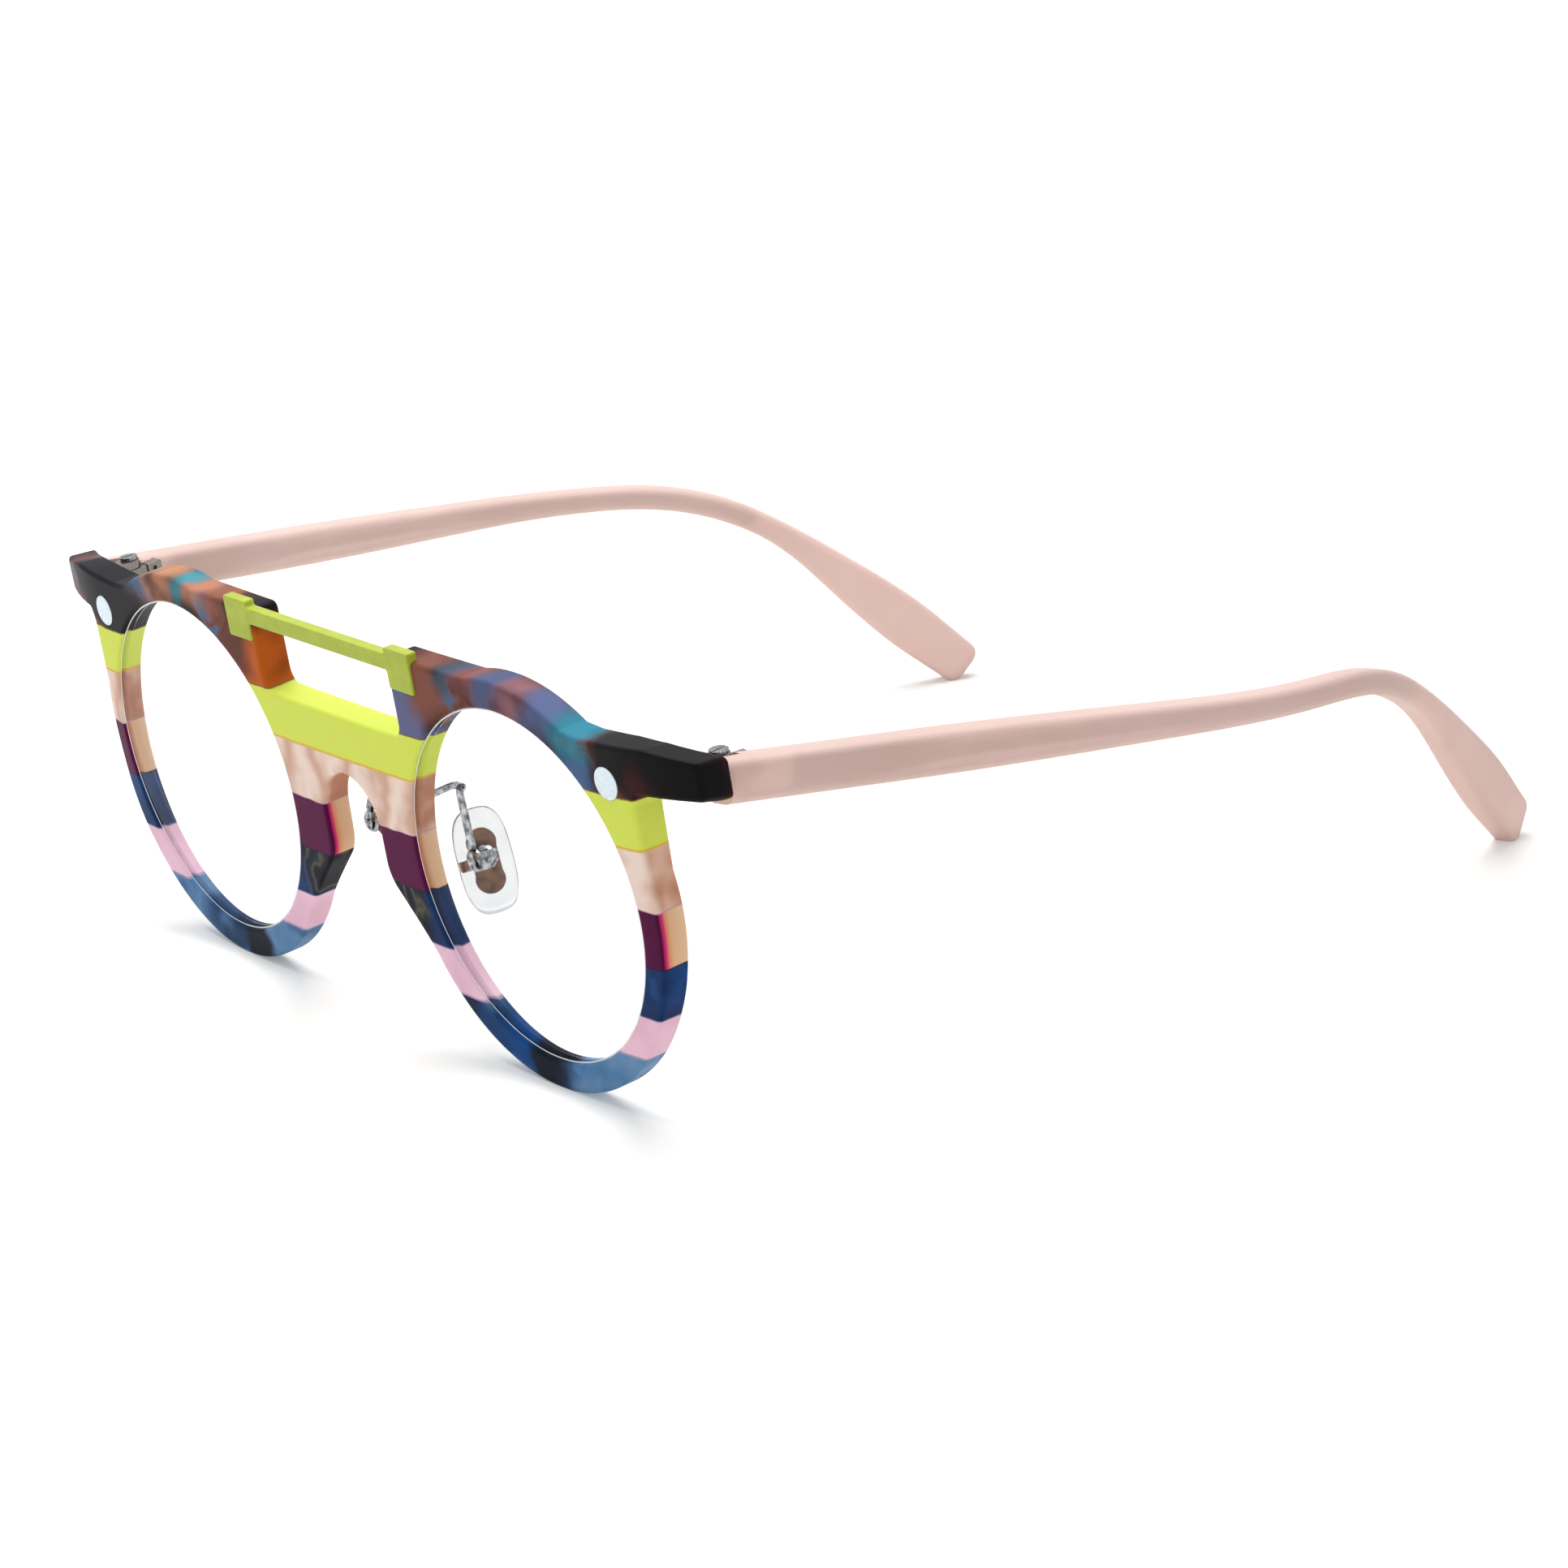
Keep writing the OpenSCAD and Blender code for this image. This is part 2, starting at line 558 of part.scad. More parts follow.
arm_top = [9.4, 9.8, 4.6];
post_top = [9.0, 9.6, 3.9];
post_foot = [pivot_x, pivot_y - (box_l + box_slot) / 4, pivot_z + box_r + 0.2];
arm_root = [arm_u, (front_t + 0.1) * cos(lean) - arm_v * sin(lean), (front_t + 0.1) * sin(lean) + arm_v * cos(lean)];

module pad_arm(left) color("#C9CCD0") side(left) difference() {
    union() {
        leaning() translate([arm_u, arm_peg_w, arm_v]) rearward() cylinder(h = front_t - arm_peg_w, r = arm_r, $fn = 32);
        standing() {
            rod(arm_root, [arm_u, 7.2, 4.9], arm_r);
            rod([arm_u, 7.2, 4.9], arm_top, arm_r);
            rod(post_top, arm_top, arm_r);
            rod(post_top, post_foot, arm_r);
        }
    }
    standing() at_pivot() rearward() cylinder(h = box_l + 2 * fit, r = box_r + fit, center = true);
}

module at_pivot() translate([pivot_x, pivot_y, pivot_z]) children();

module pad_box(left) color("#B7BAC0") side(left) standing() at_pivot() difference() {
    rearward() cylinder(h = box_l, r = box_r, center = true);
    translate([-2 * box_r, -box_slot / 2, -2 * box_r]) cube([2 * box_r + lug_r + lug_gap, box_slot, 4 * box_r]);
    rearward() cylinder(h = box_l + over, r = pad_screw_r + fit, center = true, $fn = 32);
}

module pad_screw(left) color("#D5D8DC") side(left) standing() at_pivot() rearward() {
    difference() {
        union() {
            translate([0, 0, -box_l / 2]) cylinder(h = box_l + pad_head_h / 2, r = pad_screw_r, $fn = 32);
            translate([0, 0, box_l / 2 + fit]) cylinder(h = pad_head_h, r = pad_head_r, $fn = 32);
        }
        translate([-2 * pad_head_r, -0.15, box_l / 2 + pad_head_h * 0.6]) cube([4 * pad_head_r, 0.3, pad_head_h]);
    }
}

// The pad's own frame: its length is Z, its thickness X, and its front edge is nearer to the nose
pad_centre = [-2.65, 2.3, -1.4];
pad_turn = -22;
pad_splay = 10;
pad_back = 4;
// The lug that joins the pad's insert to its pivot
lug_turn = atan(pad_centre[2] / pad_centre[0]);
lug_l = norm([pad_centre[0], pad_centre[2]]) - pad_centre[1] * sin(pad_turn) + 0.1;
lug_h = 1.2;
module in_pad() standing() at_pivot() translate(pad_centre)
    rotate([pad_back, -pad_splay, 0]) rotate([0, 0, pad_turn]) children();

insert_t = 0.7;
// How far the insert's middle reaches forward, past the lug
bridge_front = 2.9;
module insert_plate(grow) rotate([0, 90, 0]) for (z = [-1, 1]) translate([z * 2.3, 0, 0])
    cylinder(h = insert_t + 2 * grow, r = 1.75 + grow, center = true, $fn = 48);
module insert_bridge(grow) {
    translate([-insert_t / 2 - grow, -1.6 - grow, -2.5]) cube([insert_t + 2 * grow, 3.2 + 2 * grow, 5]);
    translate([-insert_t / 2 - grow, -bridge_front - grow, -lug_h / 2 - grow])
        cube([insert_t + 2 * grow, bridge_front + 2 * grow, lug_h + 2 * grow]);
}

module pad_insert(left) color("#9C7B6C") side(left) difference() {
    union() {
        in_pad() {
            insert_plate(0);
            insert_bridge(0);
        }
        standing() at_pivot() {
            lug_t = box_slot - 2 * lug_gap;
            rearward() cylinder(h = lug_t, r = lug_r, center = true);
            rotate([0, -lug_turn, 0]) translate([-lug_l, -lug_t / 2, -lug_h / 2]) cube([lug_l, lug_t, lug_h]);
        }
    }
    standing() at_pivot() rearward() cylinder(h = box_l + over, r = pad_screw_r + screw_gap, center = true, $fn = 32);
}

// A soft oval, flat and thin at its rim and fuller in the middle
module pad_oval() rotate([0, 90, 0]) {
    n = 40;
    slices = 5;
    tube([for (k = [-slices:slices]) let (t = k / slices, z = pad_t / 2 * t, f = sqrt(1 - 0.62 * t * t))
        [for (j = [0:n - 1]) let (a = -360 * j / n)
            [f * pad_l / 2 * sign(cos(a)) * pow(abs(cos(a)), 0.68), f * pad_w / 2 * sign(sin(a)) * pow(abs(sin(a)), 0.68), z]]]);
}

module nose_pad(left) color("#EDEFF0", 0.6) side(left) difference() {
    in_pad() difference() {
        pad_oval();
        insert_plate(fit);
        insert_bridge(fit);
    }
    standing() at_pivot() {
        // Room for the lug that comes out of the pad
        rotate([0, -lug_turn, 0]) translate([-lug_l - fit, -box_slot / 2, -lug_h / 2 - fit])
            cube([lug_l, box_slot, lug_h + 2 * fit]);
    }
}

front_frame();
brow_bar();
brow_bar_pin(true);  // left_brow_bar_pin
brow_bar_pin(false);  // right_brow_bar_pin
lens(true);  // left_lens
lens(false);  // right_lens
rivet(true);  // left_rivet
rivet(false);  // right_rivet
front_hinge(true);  // left_front_hinge
front_hinge(false);  // right_front_hinge
hinge_screw(true);  // left_hinge_screw
hinge_screw(false);  // right_hinge_screw
temple_hinge(true);  // left_temple_hinge
temple_hinge(false);  // right_temple_hinge
temple(true);  // left_temple
temple(false);  // right_temple
temple_core(true);  // left_temple_core
temple_core(false);  // right_temple_core
pad_arm(true);  // left_pad_arm
pad_arm(false);  // right_pad_arm
pad_box(true);  // left_pad_box
pad_box(false);  // right_pad_box
pad_insert(true);  // left_pad_insert
pad_insert(false);  // right_pad_insert
nose_pad(true);  // left_nose_pad
nose_pad(false);  // right_nose_pad
pad_screw(true);  // left_pad_screw
pad_screw(false);  // right_pad_screw
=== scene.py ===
import math

import bmesh
import bpy
from mathutils import Matrix, Vector


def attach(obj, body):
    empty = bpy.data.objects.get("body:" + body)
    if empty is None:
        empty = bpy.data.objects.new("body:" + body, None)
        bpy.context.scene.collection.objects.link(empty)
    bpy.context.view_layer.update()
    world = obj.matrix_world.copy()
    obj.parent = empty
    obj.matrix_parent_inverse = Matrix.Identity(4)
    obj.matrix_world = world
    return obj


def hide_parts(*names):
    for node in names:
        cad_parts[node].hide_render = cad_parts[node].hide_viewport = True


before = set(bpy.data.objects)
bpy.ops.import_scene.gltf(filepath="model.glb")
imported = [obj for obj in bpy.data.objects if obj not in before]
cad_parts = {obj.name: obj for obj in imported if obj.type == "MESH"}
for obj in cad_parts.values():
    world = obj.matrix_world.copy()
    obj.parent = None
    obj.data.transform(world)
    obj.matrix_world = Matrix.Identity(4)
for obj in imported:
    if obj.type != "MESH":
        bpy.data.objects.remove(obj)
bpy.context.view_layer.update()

# Sizes are in millimetres and angles in degrees, as in the part, unless a comment says otherwise.
# The glasses' own frame has x to the wearer's left, y rearward and z up from the middle of the lenses.
# The front's leaning frame has u across, w rearward from its face and v up along it.
MM = 0.001

# How far the front's top leans forward, in radians
LEAN = math.radians(5.43)
# From the front's face back to the middle of the table, and from the table up to the middle of the lenses
MIDDLE_Y = 68.145
LENS_Z = 25.0115

# The front's thickness at the brow and at the feet, and the height at which it starts to thin
FRONT_T = 4.2
FOOT_T = 2.8
TAPER_V = 15
# The front bows evenly, and beyond SWEEP_U its ends are swept back as well
BOW_R = 1073
END_U = 69.5
SWEEP_U = 56
SWEEP_W = 2.6
FRONT_EDGE = 0.55
# The rims' outer edge, and the lens openings
RIM_X = 35.3
RIM_R = 25.3
LENS_X = 35.5
OPENING_R = 21.65
# The brow lobes, the bridge between them and the arch over the nose
LOBE_U = 15
LOBE_FOOT_R = 1.6
LOBE_TOP_R = 1.0
BROW_V = 24.8
BRIDGE_V = 14.5
ARCH_R = 6.1
ARCH_V = 0.6
# The arch's flanks turn out into the flare that runs on to the rim
FLANK_V = -3
FLANK_R = 5
FLARE_V = -14.2
FLARE_REACH = 6.2
# The rim's arc gives way to the shoulder above and to the end piece's underside below
SHOULDER_AT = 59
UNDERSIDE_AT = 13.6
SHOULDER = ((51.5, 21.4, 3), (56, 21.6, 3), (62, 21.9, 5))
END_TOP_V = 20.85
END_LOW_V = 15.2
END_IN_U = 59.7
END_CORNER_R = 0.9
END_IN_R = 1
# Across and up, where the end piece's top levels out, where its underside slopes, and by how much
LEVEL_U = 58, 62
LEVEL_V = 17.5, 20
UNDER_U = 59.1, 60.3
UNDER_V = 17.6, 15.4
UNDER_SLOPE = 15.3

# The brow bar's tabs and strip, and how far they stand proud of the face
TAB_IN = 15.42
TAB_OUT = 20.47
TAB_LOW = 20.8
TAB_TOP = 25.94
BAR_LOW = 23.06
BAR_TOP = 25.12
BAR_T = 1.4
BAR_PROUD = 0.12
BAR_CORNER_R = 0.3
BAR_EDGE = 0.14
BAR_FIT = 0.02

# The rivets: across, behind the face, and up
RIVET = (55.67, 0, 16.92)
DISC_R = 2
DISC_T = 0.69
SHANK_R = 0.6
SEAT_FIT = 0.03

# The lenses: across, behind the face, and up
LENS = (LENS_X, 1.3, 0)
LENS_T = 1.6
LENS_FACE_R = 133
LENS_R = OPENING_R - 0.05
# The groove's depth, and its half width at the opening and at its floor
GROOVE_DEPTH = 0.75
GROOVE_HALF = 0.8
GROOVE_FLOOR_HALF = 0.25

# The hinge's place in the leaning frame
HINGE = Vector((64.7, 10.92, 15.75))
# The temple's butt lies a gap behind the end piece, turned as the face is at BUTT_U
BUTT_U = 68
BUTT_GAP = 0.2
# Low and high corners of the rooms for the knuckles and for the housing, seen from the hinge
KNUCKLE_ROOM = (-8, -12, -10), (1.6, 1.58, 14)
HOUSING_ROOM = (-1.6, 1.28, 0.08), (0.72, 3.82, 2.32)

# The temple's middle line starts here, at a length of 0
TEMPLE_START = Vector((67, 12, 17.22))
TEMPLE_L = 140.2
BUTT_LENGTH = -6.5
# It heads outwards at first and inwards in the end, and falls ever more steeply
HEADING_OUT = 7.16
HEADING_IN = 21.5
SLOPE_START = 5.95
SLOPE_END = 43.2
HALF_T = 2.35
TIP_HALF_T = 1.8
BUTT_HALF_H = 2.5
WAIST_HALF_H = 1.55
TIP_HALF_H = 3.55
END_HALF_H = 3.1
TEMPLE_EDGE = 1.1
TIP_ROUND = 1.6
# Shares of its length from where to where it turns in, bends down, narrows to its waist and widens to its tip
TURN_IN = 0.383, 0.662
BEND_DOWN = 0.5407, 0.8246
NARROW = 0.1427, 0.5707
WIDEN = 0.7204, 0.9201

# The wire core: half its thickness, half its height at either end, its edge, and where it narrows to a wire
CORE_START = 4.5
CORE_STEP = 2
CORE_STEPS = 48
CORE_HALF_T = 0.55
CORE_HALF_H = 1.6
CORE_WIRE_HALF_H = 0.7
CORE_EDGE = 0.3
CORE_NARROW = 12, 28

# The pad arm's route from its foot to the box, and the middle of its eyelet
ARM_ROUTE = (
    (9.7, 2.4, 4.2), (9.7, 4.6, 4.5), (9.7, 7.2, 4.85), (9.5, 9.2, 4.9),
    (9.2, 9.95, 4.3), (9.3, 9.85, 3.3), (10.4, 9.6, 0.5), (11.6, 9.33, -2.7))
ARM_HALF_W = 0.5
ARM_HALF_T = 0.3
EYELET = Vector((9.5, 9.75, 4.55))

# The pad's pivot, its middle, and half of its thickness, width and length
PIVOT = Vector((11.6, 10.3, -4.2))
PAD_MIDDLE = PIVOT + Vector((-2.65, 2.3, -1.4))
PAD_HALF = 1.42, 3.38, 6.62
# The turns that set it as it lies on the nose, one after another
PAD_TURNS = ("Z", -22), ("X", 4), ("Y", -10)
# How square the pad's edge is, and how much its oval is filled out
PAD_SQUARE = 2.6
PAD_OVAL = 0.68
# Half the width of the slot in the pad's cup
CUP_SLOT_HALF = 0.65

# How finely the lenses, their openings and their grooves are turned
EYE_STEPS = 128

# Bodies that the left and the right piece of a pair ride on
FRONT = ("front", "front")
TEMPLES = ("left_temple_body", "right_temple_body")
PADS = ("left_pad_body", "right_pad_body")


def rise(x, start, end):
    """Passes smoothly from 0 to 1 while x passes from start to end."""
    t = min(1, max(0, (x - start) / (end - start)))
    return t * t * (3 - 2 * t)


def blend(a, b, x, start, end):
    """Passes smoothly from a to b while x passes from start to end."""
    return a + (b - a) * rise(x, start, end)


def face_w(u):
    """How far the front's face lies behind its own plane."""
    swept = max(0, abs(u) - SWEEP_U) / (END_U - SWEEP_U)
    return u * u / (2 * BOW_R) + SWEEP_W * swept**2


def face_turn(u):
    """How far the face is turned about the upright there, in radians."""
    swept = max(0, u - SWEEP_U) / (END_U - SWEEP_U) ** 2
    return math.atan(u / BOW_R + 2 * SWEEP_W * swept)


def upright(point):
    """From the front's leaning frame to the glasses' own."""
    u, w, v = point
    return u, w * math.cos(LEAN) - v * math.sin(LEAN), w * math.sin(LEAN) + v * math.cos(LEAN)


def standing(point):
    """From the glasses' own frame to their place on the table, in metres."""
    x, y, z = point
    return Vector((x, y - MIDDLE_Y, max(z + LENS_Z, 0))) * MM


def leaning(point):
    """From the front's leaning frame to its place on the table, in metres."""
    return standing(upright(point))


def set_in_front(point, middle):
    """Lays a turned shape's axis square to the front's face. Its middle is given across, behind and up."""
    across, behind, up = middle
    moved = Vector(point)
    moved.rotate(Matrix.Rotation(face_turn(across), 3, "Z") @ Matrix.Rotation(-math.pi / 2, 3, "X"))
    return moved + Vector((across, face_w(across) + behind, up))


def at_hinge(point, heading=0):
    """From the hinge's frame, turned outwards by a heading, to the glasses' own."""
    moved = Vector(point)
    moved.rotate(Matrix.Rotation(-math.radians(heading), 3, "Z"))
    return upright(moved + HINGE)


# Work on meshes


def alone(piece):
    """Selects one piece and nothing else."""
    bpy.ops.object.select_all(action="DESELECT")
    piece.select_set(True)
    bpy.context.view_layer.objects.active = piece


def edit(piece):
    """Opens one piece in edit mode, with all of it selected."""
    alone(piece)
    bpy.ops.object.mode_set(mode="EDIT")
    bpy.ops.mesh.select_all(action="SELECT")


def end_edit():
    bpy.ops.object.mode_set(mode="OBJECT")


def modify(piece, kind, **settings):
    """Adds a modifier with its settings, and applies it."""
    alone(piece)
    modifier = piece.modifiers.new(kind.title(), kind)
    for name, value in settings.items():
        setattr(modifier, name, value)
    bpy.ops.object.modifier_apply(modifier=modifier.name)


def cut(piece, *cutters):
    for cutter in cutters:
        modify(piece, "BOOLEAN", operation="DIFFERENCE", solver="EXACT", object=cutter)
        bpy.data.objects.remove(cutter)


def reshape(piece, rule):
    """Moves each point of a piece to where a rule puts it."""
    for vert in piece.data.vertices:
        vert.co = rule(vert.co)
    piece.data.update()
    return piece


def merge(piece, near):
    """Merges what lies together and turns every face outwards."""
    edit(piece)
    bpy.ops.mesh.remove_doubles(threshold=near)
    bpy.ops.mesh.delete_loose()
    bpy.ops.mesh.select_all(action="SELECT")
    bpy.ops.mesh.normals_make_consistent(inside=False)
    end_edit()
    return piece


def slice_across(piece, places, way):
    """Cuts edges through a piece where planes cross it, so that it can bend there."""
    edit(piece)
    for place in places:
        bpy.ops.mesh.select_all(action="SELECT")
        bpy.ops.mesh.bisect(plane_co=[place * c for c in way], plane_no=way)
    end_edit()


def trim(piece, place, way):
    """Cuts off what lies on the far side of a plane, and closes the cut."""
    edit(piece)
    bpy.ops.mesh.bisect(plane_co=place, plane_no=way, use_fill=True, clear_outer=True)
    end_edit()


def block(low, high):
    """A block between two corners."""
    bpy.ops.mesh.primitive_cube_add(size=1)
    low, high = Vector(low), Vector(high)
    return reshape(bpy.context.object, lambda p: [
        (low[i] + high[i]) / 2 + p[i] * (high[i] - low[i]) for i in range(3)])


def turned(profile, steps=48):
    """A closed profile of radii and heights, spun about Z."""
    bpy.ops.mesh.primitive_circle_add(vertices=len(profile), radius=1)
    piece = bpy.context.object
    for vert, (radius, height) in zip(piece.data.vertices, profile):
        vert.co = (radius, 0, height)
    edit(piece)
    bpy.ops.mesh.spin(steps=steps, angle=math.tau, center=(0, 0, 0), axis=(0, 0, 1))
    end_edit()
    return merge(piece, 0.002)


def swept(rings):
    """A ring, extruded from place to place, with both of its ends closed."""
    bpy.ops.mesh.primitive_circle_add(vertices=len(rings[0]), radius=1, fill_type="NGON")
    piece = bpy.context.object
    for vert, place in zip(piece.data.vertices, rings[0]):
        vert.co = place
    edit(piece)
    for before, after in zip(rings, rings[1:]):
        bpy.ops.mesh.extrude_region_move()
        net = bmesh.from_edit_mesh(piece.data)
        for vert in [v for v in net.verts if v.select]:
            nearest = min(range(len(before)), key=lambda i: (before[i] - vert.co).length_squared)
            vert.co = after[nearest]
        bmesh.update_edit_mesh(piece.data)
    end_edit()
    return merge(piece, 0.0005)


def rounded(corners, steps=5):
    """An outline's points, with each corner turned by its own radius."""
    points = []
    for i, (u, v, radius) in enumerate(corners):
        here, before, after = (Vector(corners[k % len(corners)][:2]) for k in (i, i - 1, i + 1))
        if not radius:
            points.append(here)
            continue
        back, on = before - here, after - here
        half = back.angle(on) / 2
        reach = min(radius / math.tan(half), 0.45 * back.length, 0.45 * on.length)
        start, end = here + back.normalized() * reach, here + on.normalized() * reach
        centre = here + (back.normalized() + on.normalized()).normalized() * reach / math.cos(half)
        for k in range(steps + 1):
            arm = start.lerp(end, k / steps) - centre
            points.append(centre + arm.normalized() * (start - centre).length)
    return points


def both_halves(half):
    """The corners of a +X half, and of its mirror image on the way back."""
    return rounded(half + [(-u, v, radius) for u, v, radius in reversed(half)])


def arc(centre, radius, start, end, steps):
    """Sharp corners along an arc."""
    corners = []
    for i in range(steps + 1):
        turn = math.radians(start + (end - start) * i / steps)
        corners.append((centre[0] + radius * math.cos(turn), centre[1] + radius * math.sin(turn), 0))
    return corners


def plate(outlines, thickness, edge):
    """A flat sheet cut to outlines, with rounded edges: x is across, y is rearward from its face, z is up."""
    curve = bpy.data.curves.new("sheet", "CURVE")
    curve.dimensions = "2D"
    curve.fill_mode = "BOTH"
    curve.extrude = thickness / 2 - edge
    curve.bevel_depth = edge
    curve.bevel_resolution = 3
    curve.offset = -edge
    for outline in outlines:
        spline = curve.splines.new("POLY")
        spline.points.add(len(outline) - 1)
        for point, place in zip(spline.points, outline):
            point.co = (place[0], place[1], 0, 1)
        spline.use_cyclic_u = True
    piece = bpy.data.objects.new("sheet", curve)
    bpy.context.scene.collection.objects.link(piece)
    alone(piece)
    bpy.ops.object.convert(target="MESH")
    piece = merge(bpy.context.object, 0.002)
    return reshape(piece, lambda p: (p[0], thickness / 2 - p[2], p[1]))


def dressed(node, edge):
    """A merged copy of a node's shape, with its sharp edges broken."""
    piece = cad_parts[node].copy()
    piece.data = piece.data.copy()
    piece.parent = None
    for key in [k for k in piece.keys() if k.startswith("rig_")]:
        del piece[key]
    bpy.context.scene.collection.objects.link(piece)
    alone(piece)
    if piece.data.has_custom_normals:
        bpy.ops.mesh.customdata_custom_splitnormals_clear()
    merge(piece, 0.002 * MM)
    edit(piece)
    bpy.ops.mesh.dissolve_limited(angle_limit=math.radians(1))
    end_edit()
    modify(piece, "BEVEL", width=edge * MM, segments=2, limit_method="ANGLE",
           angle_limit=math.radians(40), use_clamp_overlap=False)
    return piece


def flip_across(piece):
    """Turns a piece into its mirror image on the other side."""
    reshape(piece, lambda p: (-p[0], p[1], p[2]))
    piece.data.flip_normals()


def finish(piece, name, body, look, node, smooth_to=35):
    """Gives a piece its name, finish and shading, the body it rides on, and the node that it replaces."""
    piece.name = name
    piece.data.materials.clear()
    piece.data.materials.append(look)
    alone(piece)
    bpy.ops.object.shade_smooth_by_angle(angle=math.radians(smooth_to))
    modify(piece, "WEIGHTED_NORMAL", keep_sharp=True)
    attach(piece, body)
    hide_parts(node)


def finish_pair(left, name, bodies, look, node, smooth_to=35):
    """Finishes the left piece, and its mirror image on the right."""
    right = left.copy()
    right.data = left.data.copy()
    bpy.context.scene.collection.objects.link(right)
    flip_across(right)
    finish(left, "left_" + name, bodies[0], look, "left_" + node, smooth_to)
    finish(right, "right_" + name, bodies[1], look, "right_" + node, smooth_to)


def dress_pair(node, ending, edge, bodies, look):
    """Dresses both nodes of a pair."""
    for side, body in zip(("left_", "right_"), bodies):
        finish(dressed(side + node, edge), side + node + ending, body, look, side + node)


# Work on materials


def colour(code):
    """A linear colour from an sRGB one."""
    parts = [int(code[i:i + 2], 16) / 255 for i in (1, 3, 5)]
    return [c / 12.92 if c <= 0.04045 else ((c + 0.055) / 1.055) ** 2.4 for c in parts] + [1]


def add(tree, kind, links=None, stops=(), **settings):
    """Adds a node. Links are values or other nodes' outputs, and stops are a ramp's places and colours."""
    node = tree.nodes.new("ShaderNode" + kind)
    for name, value in settings.items():
        setattr(node, name, value)
    for name, value in (links or {}).items():
        if isinstance(value, bpy.types.NodeSocket):
            tree.links.new(value, node.inputs[name])
        else:
            node.inputs[name].default_value = value
    for i, (place, code) in enumerate(stops):
        mark = node.color_ramp.elements[i] if i < 2 else node.color_ramp.elements.new(place)
        mark.position = place
        mark.color = colour(code)
    return node


# Inputs and output of a Mix node that mixes colours
SHARE, UNDER, OVER, MIXED = 0, 6, 7, 2


def surface(name, **values):
    """A material with one Principled shader, its even values set on the shader's own inputs."""
    look = bpy.data.materials.new(name)
    look.use_nodes = True
    tree = look.node_tree
    tree.nodes.clear()
    shader = add(tree, "BsdfPrincipled", {key.replace("_", " "): value for key, value in values.items()})
    add(tree, "OutputMaterial", {"Surface": shader.outputs[0]})
    return look, tree, shader


def in_millimetres(tree, turn=(0, 0, 0), shift=(0, 0, 0)):
    """Places on a piece, in millimetres."""
    place = add(tree, "TexCoord").outputs["Object"]
    return add(tree, "Mapping", {
        "Vector": place, "Scale": (1000, 1000, 1000), "Rotation": turn, "Location": shift}).outputs[0]


def in_leaning_frame(tree):
    """Places in the front's leaning frame, in millimetres."""
    origin = Vector((0, -MIDDLE_Y, LENS_Z))
    origin.rotate(Matrix.Rotation(-LEAN, 3, "X"))
    return in_millimetres(tree, (-LEAN, 0, 0), -origin)


def grain(tree, shader, place, size, depth):
    """Fine relief: its grain size and depth in millimetres."""
    noise = add(tree, "TexNoise", {"Vector": place, "Scale": 1 / size, "Detail": 2})
    bump = add(tree, "Bump", {"Height": noise.outputs["Fac"], "Strength": 1, "Distance": depth * MM})
    tree.links.new(bump.outputs[0], shader.inputs["Normal"])
    return noise.outputs["Fac"]


def clouded(tree, shader, place, size, detail, stops):
    """A base colour that drifts from place to place, in clouds of a size in millimetres."""
    cloud = add(tree, "TexNoise", {"Vector": place, "Scale": 1 / size, "Detail": detail}).outputs["Fac"]
    tint = add(tree, "ValToRGB", {"Fac": cloud}, stops=stops).outputs[0]
    tree.links.new(tint, shader.inputs["Base Color"])


def patches(tree, base, spots, place, soft):
    """Lays soft patches over a colour: each spot has its place across and up, its reach and its colour."""
    for across, up, reach, code in spots:
        middle = (across, face_w(across) + FRONT_T / 2, up)
        away = add(tree, "VectorMath", {0: place, 1: middle}, operation="DISTANCE").outputs["Value"]
        share = add(tree, "MapRange", {
            "Value": away, "From Min": reach + soft, "From Max": reach - soft},
            interpolation_type="SMOOTHSTEP").outputs[0]
        base = add(tree, "Mix", {
            SHARE: share, UNDER: base, OVER: colour(code)}, data_type="RGBA").outputs[MIXED]
    return base


# How much the bonded layers climb across the front, and how much their bonds wander
SHEET_SLOPE = 0.0095
BOND_WANDER = 0.3
WANDER_SIZE = 2.86
# How far the marbling's flow reaches, from one end of its range to the other, and its swirls' size
CLOUD_FLOW = 11
PATCH_FLOW = 5
SWIRL_SIZE = 6.25
# The size of the marbling's clouds, and the gap between its folds
CLOUD_SIZE = 7.69
FOLD_GAP = 6.98
